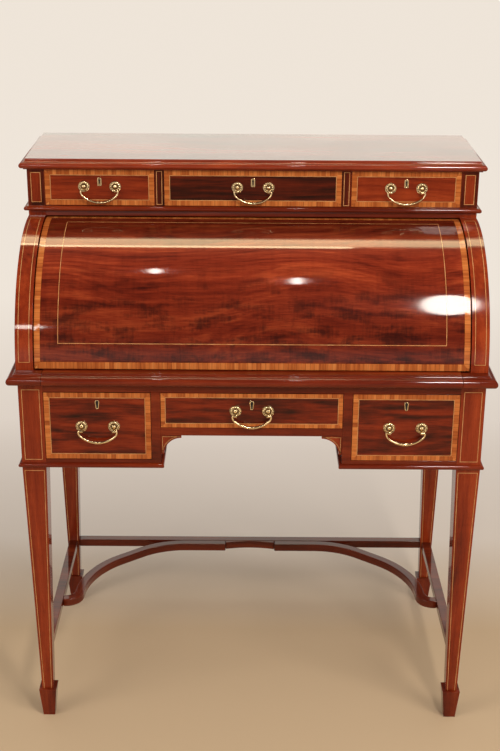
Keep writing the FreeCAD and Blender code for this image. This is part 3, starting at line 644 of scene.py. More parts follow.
finished("slide_nose", moulding(slide_path, nose_profile(slide_hi.y - slide_lo.y)), mahogany_run, "slide",
         ["slide_front"], arris=EDGE_ARRIS)
print("table edge and slide front swept")

# %% [markdown]
# ## Beads
# A half-round bead runs under each pedestal and another, the astragal, under the upper drawers. Rods
# laid along each side would not meet at the corners, so each is one small closed profile carried round
# three sides, with its flat back against the carcass.

# %% Beads and astragal
def bead_profile(top, bottom, proud, steps=14):
    """Half-round nose between two heights, squared off at the depth the bead stands proud."""
    radius = (top - bottom) / 2
    nose = arc_points((radius, bottom + radius), radius, 90.0, 270.0, steps)
    return np.vstack([[[proud, top]], nose, [[proud, bottom]]])


astragal_lo, astragal_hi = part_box("astragal_moulding")
astragal_path = three_sides(astragal_lo.x, astragal_hi.x, astragal_lo.y, astragal_hi.y)
astragal = bead_profile(astragal_hi.z, astragal_lo.z, case_lo.x - astragal_lo.x)
finished("astragal_bead", moulding(astragal_path, astragal), mahogany_run, "root",
         ["astragal_moulding"], arris=FINE_ARRIS)

bead_lo, bead_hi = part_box("frieze_mouldings")
bead_proud = bead_hi.x - leg_hi.x
kneehole_half = 0.1755
inner_x = kneehole_half - bead_proud
frieze_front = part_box("frieze_back")[0].y
bead = bead_profile(bead_hi.z, bead_lo.z, bead_proud)
right_bead = np.array([[inner_x, frieze_front], [inner_x, bead_lo.y], [bead_hi.x, bead_lo.y],
                       [bead_hi.x, bead_hi.y]])
left_bead = (right_bead * [-1.0, 1.0])[::-1]
bead_shape = joined(moulding(right_bead, bead), moulding(left_bead, bead))
finished("pedestal_beads", bead_shape, mahogany_run, "root", ["frieze_mouldings"],
         arris=FINE_ARRIS)
print("beads swept, proud by", round(bead_proud * 1000, 1), "mm")

# %% [markdown]
# ## The fall and the curved case sides
# The fall is coopered from staves and veneered, a smooth part of a cylinder that turns about an axis
# just below the writing level. The case sides follow the same centre with a radius a little larger. A
# few flat facets would break the long reflections that make a polished cylinder beautiful, so the fall
# is made again with fine steps, as a section carried round the axis.

# %% Fall
axis_y, axis_z = joints["fall_turn"]["pos_m"][1:]
fall_lo, fall_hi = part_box("cylinder_fall")
fall_radius, fall_thick, fall_inset = fall_hi.z - axis_z, 0.018, 0.004
fall_start = np.degrees(np.arcsin((fall_lo.z - axis_z) / (fall_radius - fall_thick)))
fall_end = 91.0
fall_steps, fall_columns = 110, 9


def round_axis(radius, angle):
    """Points about the fall's axis: the angle rises in degrees from the front over the top to the back."""
    turned = np.radians(np.asarray(angle, float))
    height = axis_z + radius * np.sin(turned)
    return np.stack([0.0 * turned, axis_y - radius * np.cos(turned), height], axis=-1)


fall_angles = np.linspace(fall_start, fall_end, fall_steps + 1)
outward = round_axis(1.0, fall_angles) - [0.0, axis_y, axis_z]
rightward = same([1.0, 0.0, 0.0], len(fall_angles))
fall_x = np.linspace(fall_lo.x, fall_hi.x, fall_columns)
outer_line = np.column_stack([fall_x, np.zeros(fall_columns)])
inner_line = np.column_stack([fall_x[::-1], np.full(fall_columns, -fall_thick)])
fall_section = np.vstack([outer_line, inner_line])
fall_shape = carried(round_axis(fall_radius, fall_angles), rightward, outward, fall_section)
finished("fall_curved", fall_shape, fall_veneer, "fall", ["cylinder_fall"], arris=BOARD_ARRIS)
print("fall of", fall_steps, "steps")

# %% [markdown]
# Each case side is a board whose front edge is the arc. Bending a board would bend its faces too, so it
# is an outline, one fine arc and three straight edges, carried through the thickness.

# %% Case sides
case_radius, case_steps = fall_radius + fall_inset, 96
foot_angle = np.degrees(np.arcsin((case_lo.z - axis_z) / case_radius))
curve = round_axis(case_radius, np.linspace(foot_angle, 90.0, case_steps + 1))[:, 1:]
straight_part = [[axis_y, case_hi.z], [case_hi.y, case_hi.z], [case_hi.y, case_lo.z]]
case_outline = np.vstack([curve, straight_part])
for side_name in ("left", "right"):
    lo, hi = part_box("case_side_" + side_name)
    side_shape = extruded(case_outline, ALONG_X, lo.x, hi.x)
    finished("case_side_" + side_name + "_curved", side_shape, mahogany_z, "root",
             ["case_side_" + side_name], arris=BOARD_ARRIS)
print("case sides of", case_steps, "steps")

# %% [markdown]
# ## The bow stretcher
# Below, a bow of three lengths ties the sides to the rear stretcher: two sweeps that spring from the
# side stretchers, and a small arch between them. A bevelled curve could make them, but its section
# might tilt. Here the route is straight runs joined by tangent arcs, worked out from its corners, and a
# square section with softened edges stays upright along it.

# %% Route of the bow
bow_lo, bow_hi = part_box("bow_stretcher")
bow_width, bow_arris = 0.020, 0.003
rear_face = bow_hi.y
bow_flat_y = rear_face - bow_width / 2
bow_spring_y, bow_throat, bow_shoulder, bow_run = -0.034, 0.031, 0.039, 0.131
bow_flat_half, arch_half = 0.211, 0.058
bow_corners = np.array([[bow_hi.x, bow_spring_y], [bow_hi.x - bow_throat, bow_spring_y],
                        [bow_hi.x - bow_shoulder, bow_spring_y + bow_run],
                        [bow_flat_half, bow_flat_y], [arch_half, bow_flat_y]])
bow_radii = [0.028, 0.205, 0.170]


def rounded_route(corners, radii, steps=24):
    """Straight runs between corners, each inner corner replaced by a tangent arc.

    The arc's centre lies on the corner's bisector at radius over the sine of half the angle, and it turns
    from one run's foot to the other's.
    """
    pieces = [corners[:1]]
    for before, corner, after, radius in zip(corners, corners[1:], corners[2:], radii):
        back = (before - corner) / np.linalg.norm(before - corner)
        ahead = (after - corner) / np.linalg.norm(after - corner)
        half = np.arccos(back @ ahead) / 2
        bisector = (back + ahead) / np.linalg.norm(back + ahead)
        centre = corner + bisector * radius / np.sin(half)
        first = corner + back * radius / np.tan(half) - centre
        last = corner + ahead * radius / np.tan(half) - centre
        swing = np.arctan2(first[0] * last[1] - first[1] * last[0], first @ last)
        turned = np.arctan2(first[1], first[0]) + np.linspace(0.0, swing, steps + 1)
        pieces.append(centre + radius * np.column_stack([np.cos(turned), np.sin(turned)]))
    return np.vstack(pieces + [corners[-1:]])


right_route = rounded_route(bow_corners, bow_radii)
left_route = right_route * [-1.0, 1.0]
print("bow route of", len(right_route), "stations a side")

# %% [markdown]
# The small arch between the sweeps has its back flat against the rear stretcher, and its front is
# hollowed in one arc. It could be cut to shape from a block; instead its section is carried along the
# back and drawn forward, at each station, to the depth of the arc there.

# %% Bow stretcher
half_bow = bow_width / 2
bow_section = np.array([[-half_bow, bow_lo.z], [half_bow, bow_lo.z],
                        [half_bow, bow_hi.z], [-half_bow, bow_hi.z]])
arch_end_depth, arch_crown_depth, arch_stations = 0.012, 0.0045, 33
arch_x = np.linspace(-arch_half, arch_half, arch_stations)
# An arc's radius is half its span squared plus its rise squared, over twice the rise.
arch_sag = arch_end_depth - arch_crown_depth
arch_radius = (arch_half ** 2 + arch_sag ** 2) / (2 * arch_sag)
arch_depth = arch_crown_depth + arch_radius - np.sqrt(arch_radius ** 2 - arch_x ** 2)
arch_rear = np.column_stack([arch_x, np.full(arch_stations, rear_face), np.zeros(arch_stations)])
arch_forward = np.column_stack([np.zeros(arch_stations), -arch_depth, np.zeros(arch_stations)])
arch_up = same([0.0, 0.0, 1.0], arch_stations)
arch_section = np.array([[0.0, bow_lo.z], [1.0, bow_lo.z], [1.0, bow_hi.z], [0.0, bow_hi.z]])
arch = carried(arch_rear, arch_forward, arch_up, arch_section)
finished("bow_swept", joined(moulding(right_route, bow_section), moulding(left_route, bow_section), arch),
         bow_wood, "root", ["bow_stretcher"], arris=bow_arris)
print("bow swept, arch of radius", round(arch_radius, 3))

# %% [markdown]
# ## Kneehole brackets
# Under the middle drawer each corner holds a small bracket with a hollow curve and a squared tip. A
# boolean could cut the curve out of a block, but leaves ragged faces; an outline of a few lines and one
# arc, carried through the thickness, is clean. The same outline, drawn further in, will later guide the
# string that edges it.

# %% Kneehole brackets
bracket_lo, bracket_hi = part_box("kneehole_brackets")
bracket_reach, bracket_tip, bracket_arris = 0.040, 0.006, 0.0005
bracket_sweep = bracket_reach - bracket_tip


def bracket_outline(margin, mirror=1.0, steps=20):
    """The bracket's edge in X and Z, drawn in by a margin: back, tip, hollow quarter circle, foot."""
    tip = kneehole_half - bracket_reach
    low = bracket_hi.z - bracket_reach
    hollow = arc_points((tip, low), bracket_sweep + margin, 90.0, 0.0, steps)
    hollow[0, 0] += margin
    hollow[-1, 1] += margin
    top_corners = [[kneehole_half - margin, bracket_hi.z - margin], [tip + margin, bracket_hi.z - margin]]
    outline = np.vstack([top_corners, hollow, [[kneehole_half - margin, low + margin]]])
    return outline * [mirror, 1.0]


both_brackets = [extruded(bracket_outline(0.0, mirror), ALONG_Y, bracket_lo.y, bracket_hi.y)
                 for mirror in (1.0, -1.0)]
finished("brackets_curved", joined(*both_brackets), mahogany_z, "root",
         ["kneehole_brackets"], arris=bracket_arris)
print("brackets reach", bracket_reach)

# %% [markdown]
# ## Flat boards keep their frame
# The legs, rails, drawer boards and shelves are already right in the frame. They only need their wood,
# each with the grain the way a joiner would cut it, and slightly softened edges, because a knife-sharp
# edge catches no light.

# %% Boards of the frame
rail_arris = 0.0012


def named(*endings):
    """Frame nodes whose names end in one of these ways."""
    return [name for name in nodes if name.endswith(endings)]


def dress(names, material, arris=0.0):
    """Give frame nodes a finish and, where an arris is given, soften their edges once their loose triangles
    are welded.
    """
    for name in names:
        board = nodes[name]
        board.data.materials.clear()
        board.data.materials.append(material)
        if arris:
            weld = board.modifiers.new("weld", "WELD")
            weld.merge_threshold = 1e-5
            soften(board, arris)


dress(["front_rails", "frieze_back", "upper_floor", "pigeonhole_fitment", "slide_board", "case_back",
       "dust_boards"], mahogany_x, BOARD_ARRIS)
dress(["straight_stretchers"], stretcher_wood, rail_arris)
dress(["spade_feet"], foot_wood, BOARD_ARRIS)
dress(["frieze_sides", "kneehole_partitions"], mahogany_y, BOARD_ARRIS)
dress(["leg_front_left", "leg_front_right", "leg_back_left", "leg_back_right"], mahogany_z, BOARD_ARRIS)
dress(["upper_dividers"], divider_wood, BOARD_ARRIS)
dress(["quadrant_arms", "slide_yokes", "quadrant_screws"], iron)
dress(["pivot_bushes"], brass)
dress(["slide_leather"], leather)
dress(["lower_left_drawer_front", "lower_middle_drawer_front", "lower_right_drawer_front"], drawer_veneer,
      EDGE_ARRIS)
dress(["upper_left_drawer_front", "upper_right_drawer_front"], side_veneer, EDGE_ARRIS)
dress(["upper_middle_drawer_front"], deep_veneer, EDGE_ARRIS)
dress(named("_drawer_box"), lining_wood, EDGE_ARRIS)
dress(["small_drawer_left", "small_drawer_right"], mahogany_x, EDGE_ARRIS)
print("frame boards dressed")

# %% [markdown]
# ## Bands and strings
# Inlay lies level with the veneer round it; here every ribbon stands a fraction of a millimetre proud,
# so that it never fights with the surface below. A ribbon is the strip between two outlines on a
# surface, and the surface is a function from two flat coordinates and a height to a place: a plane, the
# round of the fall, or the tapering face of a leg. So one function lays every band and string on the
# desk.

# %% Ribbons
def inlaid(outer, inner, surface, closed=True, step=0.01, proud=0.00025, depth=0.0006):
    """A flat ribbon between two outlines, laid on a surface.

    Each run goes straight from one corner to the next on both outlines. A point's place is
    surface(s, t, height); its straightened place is its distance along the run and across it, so that
    cross-cut wood turns at every mitre.
    """
    corners = len(outer)
    runs = []
    for here in range(corners if closed else corners - 1):
        there = (here + 1) % corners
        run = outer[there] - outer[here]
        length = np.linalg.norm(run)
        share = np.linspace(0.0, 1.0, int(np.ceil(length / step)) + 1)[:, None]
        outer_edge = outer[here] + run * share
        inner_edge = inner[here] + (inner[there] - inner[here]) * share
        flat = np.stack([outer_edge, outer_edge, inner_edge, inner_edge], axis=1)
        height = np.tile([-depth, proud, proud, -depth], (len(share), 1))
        along = flat @ (run / length)
        across = (flat - outer[here]) @ (np.array([-run[1], run[0]]) / length)
        points = surface(flat[..., 0], flat[..., 1], height)
        faces = grid_faces(len(share), 4, wrap=True)
        if not closed and here == 0:
            faces.append([0, 1, 2, 3])
        if not closed and here == corners - 2:
            faces.append([4 * len(share) - number for number in (1, 2, 3, 4)])
        straight = np.stack([along, across, height], axis=-1)
        runs.append((points.reshape(-1, 3), faces, straight.reshape(-1, 3)))
    return joined(*runs)

print("ribbon helper ready")

# %% [markdown]
# These are the surfaces: a plane that faces the front, a level one and a cylinder, with a rectangle to
# draw on any of them. A shrinkwrap modifier could press a ribbon on to a board, but not to a tenth of a
# millimetre.

# %% Surfaces under the ribbons
def on_front(y):
    """A plane that faces the front at y: s is X and t is Z."""
    return lambda s, t, height: np.stack([s, y - height, t], axis=-1)


def on_flat(z):
    """A level surface at z: s is X and t is Y."""
    return lambda s, t, height: np.stack([s, t, z + height], axis=-1)


def on_round(radius):
    """A cylinder about the fall's axis: s is X and t is the arc length from the axis level."""
    return lambda s, t, height: np.stack([s, axis_y - (radius + height) * np.cos(t / radius),
                                          axis_z + (radius + height) * np.sin(t / radius)], axis=-1)


def rectangle(s0, s1, t0, t1):
    """A function that gives the rectangle's four corners drawn in by a margin."""
    return lambda margin: np.array([[s0 + margin, t0 + margin], [s1 - margin, t0 + margin],
                                    [s1 - margin, t1 - margin], [s0 + margin, t1 - margin]])

print("surfaces ready")

# %% [markdown]
# A band is one ribbon. A string is two: a pale line, and below it a wider black one that shows as a
# hairline on both sides. Three lines side by side would have to meet exactly; two that overlap always
# do.

# %% Bands and strings
string_width, hairline, hairline_proud = 0.0011, 0.00022, 0.00012


def band(path, start, width, surface, closed=True):
    """A ribbon of one width, starting at a margin inside a path."""
    return inlaid(path(start), path(start + width), surface, closed)


def string(path, start, surface, closed=True):
    """A pale string, and the black lines that show on both sides of it as one wider ribbon below."""
    end = start + string_width + 2 * hairline
    black = inlaid(path(start), path(end), surface, closed, proud=hairline_proud)
    return band(path, start + hairline, string_width, surface, closed), black


def lay_strings(name, strings, body):
    """Two pieces, pale and black, for all the strings that ride on one body."""
    pale_lines, black_lines = zip(*strings)
    finished(name + "_strings", joined(*pale_lines), boxwood, body)
    finished(name + "_hairlines", joined(*black_lines), black_string, body)

print("strings of", string_width, "with hairlines of", hairline)

# %% [markdown]
# ## Drawer fronts
# Each front carries a satinwood band just inside its edge, with a string inside the band. The middle
# drawer has a narrower band. Painted into the veneer's material they would blur from close by; as
# ribbons they keep crisp edges and true mitres, and the grain of the band turns with it.

# %% Bands and strings on the drawers
edge_margin = 0.0006
DRAWERS = {"lower_left": 0.0096, "lower_middle": 0.0078, "lower_right": 0.0096,
           "upper_left": 0.0100, "upper_middle": 0.0100, "upper_right": 0.0100}
for drawer, band_width in DRAWERS.items():
    lo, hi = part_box(drawer + "_drawer_front")
    path = rectangle(lo.x, hi.x, lo.z, hi.z)
    face = on_front(lo.y)
    band_shape = band(path, edge_margin, band_width, face)
    finished(drawer + "_band", band_shape, satinwood_band, drawer + "_drawer", banded=True)
    lay_strings(drawer, [string(path, edge_margin + band_width, face)], drawer + "_drawer")
print("bands on", len(DRAWERS), "drawers")

# %% [markdown]
# ## The fall's panel
# The fall has a satinwood band at its edges, wider at the foot, and a single string that frames the
# middle. A straight ribbon would sink into the curve, so these are cut into short steps and laid on the
# fall's own cylinder.

# %% Band and string on the fall
fall_side_band, fall_foot_band = 0.011, 0.0130
string_half = 0.3695
string_low, string_high = 14.2, 83.0


def on_arc(degrees):
    """Arc length on the fall's face."""
    return fall_radius * np.radians(degrees)


fall_face = on_round(fall_radius)
foot, head = on_arc(fall_start) + edge_margin, on_arc(fall_end) - edge_margin
left, right = fall_lo.x + edge_margin, fall_hi.x - edge_margin
outer = np.array([[left, foot], [right, foot], [right, head], [left, head]])
inner = outer + np.array([[fall_side_band, fall_foot_band], [-fall_side_band, fall_foot_band],
                          [-fall_side_band, -fall_side_band], [fall_side_band, -fall_side_band]])
fall_band = inlaid(outer, inner, fall_face, step=0.003)
finished("fall_band", fall_band, satinwood_band, "fall", banded=True)
panel = rectangle(-string_half, string_half, on_arc(string_low), on_arc(string_high))
lay_strings("fall", [string(panel, 0.0, fall_face)], "fall")
print("fall banded")

# %% [markdown]
# ## Strings on the carcass
# The fixed carcass has strings: a panel on each corner post, corner pilaster and divider, a long panel that
# follows the curve of each case side, and on each leg two lines that run down to the foot from a cross line.
# Outside its string each pilaster has a darker border, a band in the dividers' deep-toned finish.

# %% Faces and lines of the carcass
divider_lo, divider_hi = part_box("upper_dividers")
foot_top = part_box("spade_feet")[1].z
leg_square, leg_toe = leg_hi.x - leg_lo.x, 0.0235
taper_top = bead_lo.z
divider_inner, leg_drop = 0.178, 0.004
case_inner = -case_hi.x


def on_leg(x, y):
    """The tapering front face of a leg: s is measured from its middle, t is Z."""
    def face(s, t, height):
        share = np.clip((t - foot_top) / (taper_top - foot_top), 0.0, 1.0)
        half = (leg_toe + (leg_square - leg_toe) * share) / 2
        return np.stack([x + s, y - half - height, t], axis=-1)
    return face


def leg_lines(margin):
    """Two lines beside the edges of the tapering face, joined near the top."""
    high = taper_top - leg_drop - margin
    share = (high - foot_top) / (taper_top - foot_top)
    wide = (leg_toe + (leg_square - leg_toe) * share) / 2 - margin
    narrow = leg_toe / 2 - margin
    return np.array([[-narrow, foot_top], [-wide, high], [wide, high], [narrow, foot_top]])


def between(mirror, x0, x1, t0, t1):
    """A rectangle on the right side, or its mirror on the left."""
    return rectangle(*sorted((mirror * x0, mirror * x1)), t0, t1)

print("leg face narrows from", round(leg_square, 4), "to", leg_toe)

# %% [markdown]
# Left and right are alike, so each panel is given once, for the right side, and mirrored. The strings
# of the brackets follow their hollow edge, between outlines that are drawn in by four margins.

# %% Laying the carcass strings
post_margin, post_drop, divider_margin, leg_margin = 0.006, 0.006, 0.003, 0.0035
pilaster_edge, pilaster_border = 0.0008, 0.0060
bracket_margins = (0.0025, 0.0029, 0.0037, 0.0041)
case_panel = (4.4, 86.5)
upper_face, post_face, round_face = on_front(axis_y), on_front(leg_lo.y), on_round(case_radius)
case_foot, case_head = case_radius * np.radians(case_panel)
carcass_strings, pilaster_borders = [], []
for mirror in (1.0, -1.0):
    post = between(mirror, leg_lo.x, leg_hi.x, bead_hi.z, table_lo.z - post_drop)
    pilaster = between(mirror, case_inner, -case_lo.x, astragal_hi.z, top_lo.z)
    divider = between(mirror, divider_inner, divider_hi.x, astragal_hi.z, top_lo.z)
    rounded = between(mirror, case_inner, -case_lo.x, case_foot, case_head)
    carcass_strings += [string(post, post_margin, post_face),
                        string(divider, divider_margin, on_front(divider_lo.y)),
                        string(pilaster, pilaster_edge + pilaster_border, upper_face),
                        string(rounded, post_margin, round_face)]
    pilaster_borders.append(band(pilaster, pilaster_edge, pilaster_border, upper_face))
    for corner in ("front", "back"):
        lo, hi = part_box("leg_" + corner + ("_right" if mirror > 0 else "_left"))
        leg_face = on_leg((lo.x + hi.x) / 2, (lo.y + hi.y) / 2)
        carcass_strings.append(string(leg_lines, leg_margin, leg_face, closed=False))
    edge = [bracket_outline(margin, mirror) for margin in bracket_margins]
    bracket_face = on_front(bracket_lo.y)
    carcass_strings.append((inlaid(edge[1], edge[2], bracket_face),
                            inlaid(edge[0], edge[3], bracket_face, proud=hairline_proud)))
lay_strings("carcass", carcass_strings, "root")
finished("pilaster_borders", joined(*pilaster_borders), divider_wood, "root")
print("carcass strings:", len(carcass_strings))

# %% [markdown]
# ## The writing surface
# The leather on the slide is tooled with a gilt line, a thin roll of gold leaf pressed in with a hot
# wheel. It could be a mask in the leather's material, but the ribbon that makes every string makes this
# line too.

# %% Gilt line on the leather
hide_lo, hide_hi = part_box("slide_leather")
gilt_margin, gilt_width = 0.014, 0.0016
hide = rectangle(hide_lo.x, hide_hi.x, hide_lo.y, hide_hi.y)
gilt_line = band(hide, gilt_margin, gilt_width, on_flat(hide_hi.z))
finished("slide_gilt_line", gilt_line, gilt, "slide")
print("gilt line laid")

# %% [markdown]
# ## Handles
# Each handle is a bail on two rosettes. A rosette is a cast disc with a beaded rim, a ring of petals
# and a domed button. It could be carved or sculpted, but it is simply a height that depends on the
# distance from the centre, with the petals as a wave round it.

# %% Rosettes
rosette_radius, petals = 0.01175, 12
# Distance from the centre as a share of the radius, and the height there in millimetres.
ROSETTE = np.array([[0.0, 6.0], [0.10, 5.9], [0.22, 5.3], [0.31, 4.3], [0.36, 3.2], [0.40, 2.3],
                    [0.46, 2.6], [0.58, 3.3], [0.70, 3.2], [0.80, 2.4], [0.85, 1.5], [0.89, 1.9],
                    [0.94, 2.1], [0.98, 1.6], [1.0, 0.9], [1.0, -0.3]])
rosette_rows, petal_depth = 46, 1.3
# Shares of the radius: middle and half width of the ring of petals, then of the two dark grooves.
petal_middle, petal_reach = 0.62, 0.22
ROSETTE_GROOVES = [(0.46, 0.08), (0.85, 0.035)]


def rosette(x, y, z, columns=72):
    """Height over a disc: a turned profile, petals cut as a wave of the angle, the last tenth scalloped."""
    places = np.linspace(0.0, 1.0, len(ROSETTE))
    finer = np.linspace(0.0, 1.0, rosette_rows)
    share = np.interp(finer, places, ROSETTE[:, 0])[:, None]
    height = np.interp(finer, places, ROSETTE[:, 1])[:, None]
    angle = np.linspace(0.0, 2 * np.pi, columns, endpoint=False)[None, :]
    wave = np.abs(np.cos(petals * angle / 2))
    ring = np.clip(1.0 - np.abs(share - petal_middle) / petal_reach, 0.0, 1.0)
    cut = np.sqrt(ring) * (1.0 - np.sqrt(wave))
    scallop = 1.0 - 0.035 * np.clip((share - 0.9) / 0.1, 0.0, 1.0) * (1.0 - wave)
    raised = (height - petal_depth * cut) / 1000.0
    radius = rosette_radius * share * scallop
    points = np.stack([x + radius * np.cos(angle), y - raised, z + radius * np.sin(angle)], axis=-1)
    groove = sum(np.exp(-((share - middle) / width) ** 2) for middle, width in ROSETTE_GROOVES)
    patina = np.clip(0.95 * groove + 1.2 * cut, 0.0, 1.0)
    return points.reshape(-1, 3), capped_faces(*points.shape[:2]), patina.reshape(-1, 1)

print("rosettes of", petals, "petals")

# %% [markdown]
# Below each rosette's button a waisted post stands out, with a barrel across its end: the lug that
# holds the bail. Plain cylinders would do from afar, but a profile turned about an axis gives the waist
# and the rounded ends as well.

# %% Turned posts and lugs
post_radius, hinge_drop, lug_radius, lug_length = 0.0026, 0.0075, 0.0031, 0.0064


def turned_piece(profile, origin, axis, patina=0.15, columns=24):
    """A profile of (distance along the axis, radius) turned about that axis."""
    along, radius = np.asarray(profile, float).T
    axis = np.asarray(axis, float)
    first = np.cross(axis, [0.0, 0.0, 1.0])
    second = np.cross(axis, first)
    angle = np.linspace(0.0, 2 * np.pi, columns, endpoint=False)
    circle = np.cos(angle)[:, None] * first + np.sin(angle)[:, None] * second
    points = np.asarray(origin) + along[:, None, None] * axis + radius[:, None, None] * circle
    rows = len(along)
    return points.reshape(-1, 3), capped_faces(rows, columns), np.full((rows * columns, 1), patina)


def lug(x, y, z, stand):
    """A waisted post out of the rosette and a rounded barrel across its end, where the bail turns."""
    post = turned_piece([(0.0, post_radius * 1.25), (0.003, post_radius), (stand * 0.6, post_radius * 0.85),
                         (stand, post_radius)], (x, y, z), (0.0, -1.0, 0.0), 0.35)
    half = lug_length / 2
    barrel = [(-half, lug_radius * 0.7), (-half * 0.86, lug_radius * 0.93), (-half * 0.55, lug_radius),
              (half * 0.55, lug_radius), (half * 0.86, lug_radius * 0.93), (half, lug_radius * 0.7)]
    return joined(post, turned_piece(barrel, (x, y - stand, z), (1.0, 0.0, 0.0)))

print("lugs of", lug_length, "with posts of radius", post_radius)

# %% [markdown]
# The bail is a wire bent in arcs and thickened to a ringed grip. Its middle line is drawn in the plane
# of its swing: a short pin, a quarter bend, a hip and one wide arc, then the same mirrored. A curve
# with a round bevel would be equally thick all along, so the radius is read from a short table by the
# distance to the middle, which swells the grip and gives it its rings.

# %% Bails
handle_half = 0.0312
bail_pin, bail_bend, bail_hip_radius, bail_drop = 0.0349, 0.0022, 0.012, 0.024
# Distance from the middle of the grip and the radius there, both in millimetres.
BAIL_RADIUS = np.array([[0.0, 2.8], [3.3, 2.7], [3.5, 3.1], [4.0, 3.3], [5.0, 3.3], [5.5, 3.1], [5.8, 2.4],
                        [9.0, 2.6], [20.0, 2.3], [34.0, 1.9], [60.0, 1.7]])


def bail_line(steps=(4, 10, 14, 150)):
    """Points in X and Z from the pin inside one lug, round the bends, to the same pin on the other side.

    The wide arc's centre is as far from the hip's centre as their radii differ, so they meet without a kink.
    """
    half = bail_pin + bail_bend
    hip = np.array([half - bail_hip_radius, -bail_bend])
    rise = bail_drop - bail_bend
    wide = (hip[0] ** 2 + rise ** 2 - bail_hip_radius ** 2) / (2 * (rise - bail_hip_radius))
    crown = np.array([0.0, wide - bail_drop])
    meet = np.degrees(np.arctan2(hip[1] - crown[1], hip[0] - crown[0]))
    pin_x = np.linspace(handle_half, bail_pin, steps[0], endpoint=False)
    pin = np.column_stack([pin_x, np.zeros(steps[0])])
    bend = arc_points((bail_pin, -bail_bend), bail_bend, 90.0, 0.0, steps[1])
    hips = arc_points(hip, bail_hip_radius, 0.0, meet, steps[2])
    low = arc_points(crown, wide, meet, -180.0 - meet, steps[3])
    side = np.vstack([pin, bend, hips[1:-1]])
    return np.vstack([side, low, (side * [-1.0, 1.0])[::-1]])


def bail(x, y, z, columns=14):
    """A circle carried along the bail's line, square to it, with a radius read from the table."""
    line = bail_line()
    ahead = np.gradient(line, axis=0)
    ahead = ahead / np.linalg.norm(ahead, axis=1, keepdims=True)
    far = distance_along(line)
    from_middle = np.abs(far - far[-1] / 2)
    radius = np.interp(from_middle * 1000.0, *BAIL_RADIUS.T) / 1000.0
    angle = np.linspace(0.0, 2 * np.pi, columns, endpoint=False)
    sideways = np.column_stack([-ahead[:, 1], np.zeros(len(line)), ahead[:, 0]])
    cosine, sine = np.cos(angle)[None, :, None], np.sin(angle)[None, :, None]
    swing = cosine * sideways[:, None] + sine * [0.0, 1.0, 0.0]
    centre = np.column_stack([x + line[:, 0], np.full(len(line), y), z + line[:, 1]])
    points = centre[:, None] + swing * radius[:, None, None]
    groove = np.exp(-((from_middle - 0.0057) / 0.0006) ** 2)
    patina = np.repeat(0.6 * groove[:, None], columns, axis=1)
    return points.reshape(-1, 3), capped_faces(len(line), columns), patina.reshape(-1, 1)

print("bail line of", len(bail_line()), "points")

# %% [markdown]
# ## Keyholes and locks
# A keyhole is edged with a thin brass ring. Below it is drop shaped, wide at the top; above it has a flat
# foot. Both outlines are arcs of circles, and an inset only shortens every radius, so the ring is a
# half-round carried along the outline. A bevelled curve would do for the drop, but would round off the flat
# foot. Inside the ring the opening is not cut: a near-black plate lies there, painted shade where the hole
# would be.

# %% Keyhole rings
# Arcs of an outline: centre, radius, first and last angle in degrees.
DROP = [((0.0, 0.0048), 0.0044, -6.5, 186.5), ((0.0, -0.0064), 0.0031, 186.5, 353.5)]
ARCHED = [((0.0, 0.0050), 0.0042, 0.0, 180.0), ((-0.0024, -0.0074), 0.0018, 180.0, 270.0),
          ((0.0024, -0.0074), 0.0018, 270.0, 360.0)]
KEY = [((0.0, 0.0030), 0.0018, -55.0, 235.0), ((0.0, -0.0036), 0.0010, 180.0, 360.0)]


def outline_rays(arcs, steps=16):
    """Centres, radii and directions of points along a closed outline of arcs."""
    centres = np.vstack([np.tile(centre, (steps + 1, 1)) for centre, _, _, _ in arcs])
    radii = np.concatenate([np.full(steps + 1, radius) for _, radius, _, _ in arcs])
    angle = np.concatenate([np.radians(np.linspace(start, end, steps + 1)) for _, _, start, end in arcs])
    return centres, radii, np.column_stack([np.cos(angle), np.sin(angle)])


def keyhole_ring(x, y, z, arcs, width=0.0018, height=0.0008, columns=9):
    """A half-round carried round an outline: each point lies at its radius less an inset, at a height."""
    centres, radii, rays = outline_rays(arcs)
    swing = np.linspace(0.0, np.pi, columns)
    inset = width / 2 * (1.0 - np.cos(swing))
    flat = centres[:, None] + rays[:, None] * (radii[:, None] - inset)[..., None]
    raised = np.tile(height * np.sin(swing) - 0.0002, (len(radii), 1))
    points = np.stack([x + flat[..., 0], y - raised, z + flat[..., 1]], axis=-1)
    points = np.concatenate([points, points[:1]])
    patina = np.full((len(points) * columns, 1), 0.1)
    return points.reshape(-1, 3), grid_faces(len(points), columns, wrap=True), patina


def plate(x, y, z, arcs, inset, proud, patina):
    """A thin flat plate inside an outline."""
    centres, radii, rays = outline_rays(arcs)
    flat = centres + rays * (radii - inset)[:, None]
    level = np.array([y + 0.0002, y - proud])[:, None] + np.zeros(len(flat))
    points = np.stack([np.tile(x + flat[:, 0], (2, 1)), level, np.tile(z + flat[:, 1], (2, 1))], axis=-1)
    return points.reshape(-1, 3), capped_faces(2, len(flat)), np.full((2 * len(flat), 1), patina)

print("keyhole outlines of", len(DROP), "and", len(ARCHED), "arcs")

# %% [markdown]
# Behind the front sit the lock's box and the square nuts that hold the handle. They show only in a
# drawer that is drawn out, so a few square steps and a turned shank are enough.

# %% Locks and nuts
def stepped_block(x, z, levels, patina=0.3):
    """A square block in steps: each level gives its Y and its half width and half height."""
    y, half_x, half_z = np.asarray(levels, float).T[..., None]
    corner_x, corner_z = np.array([1.0, 1.0, -1.0, -1.0]), np.array([-1.0, 1.0, 1.0, -1.0])
    points = np.stack([x + half_x * corner_x, y + 0.0 * corner_x, z + half_z * corner_z], axis=-1)
    return points.reshape(-1, 3), capped_faces(len(y), 4), np.full((4 * len(y), 1), patina)


nut_half, nut_thick, nut_chamfer = 0.005, 0.0036, 0.0043
shank_radius, shank_reach = 0.0025, 0.0040


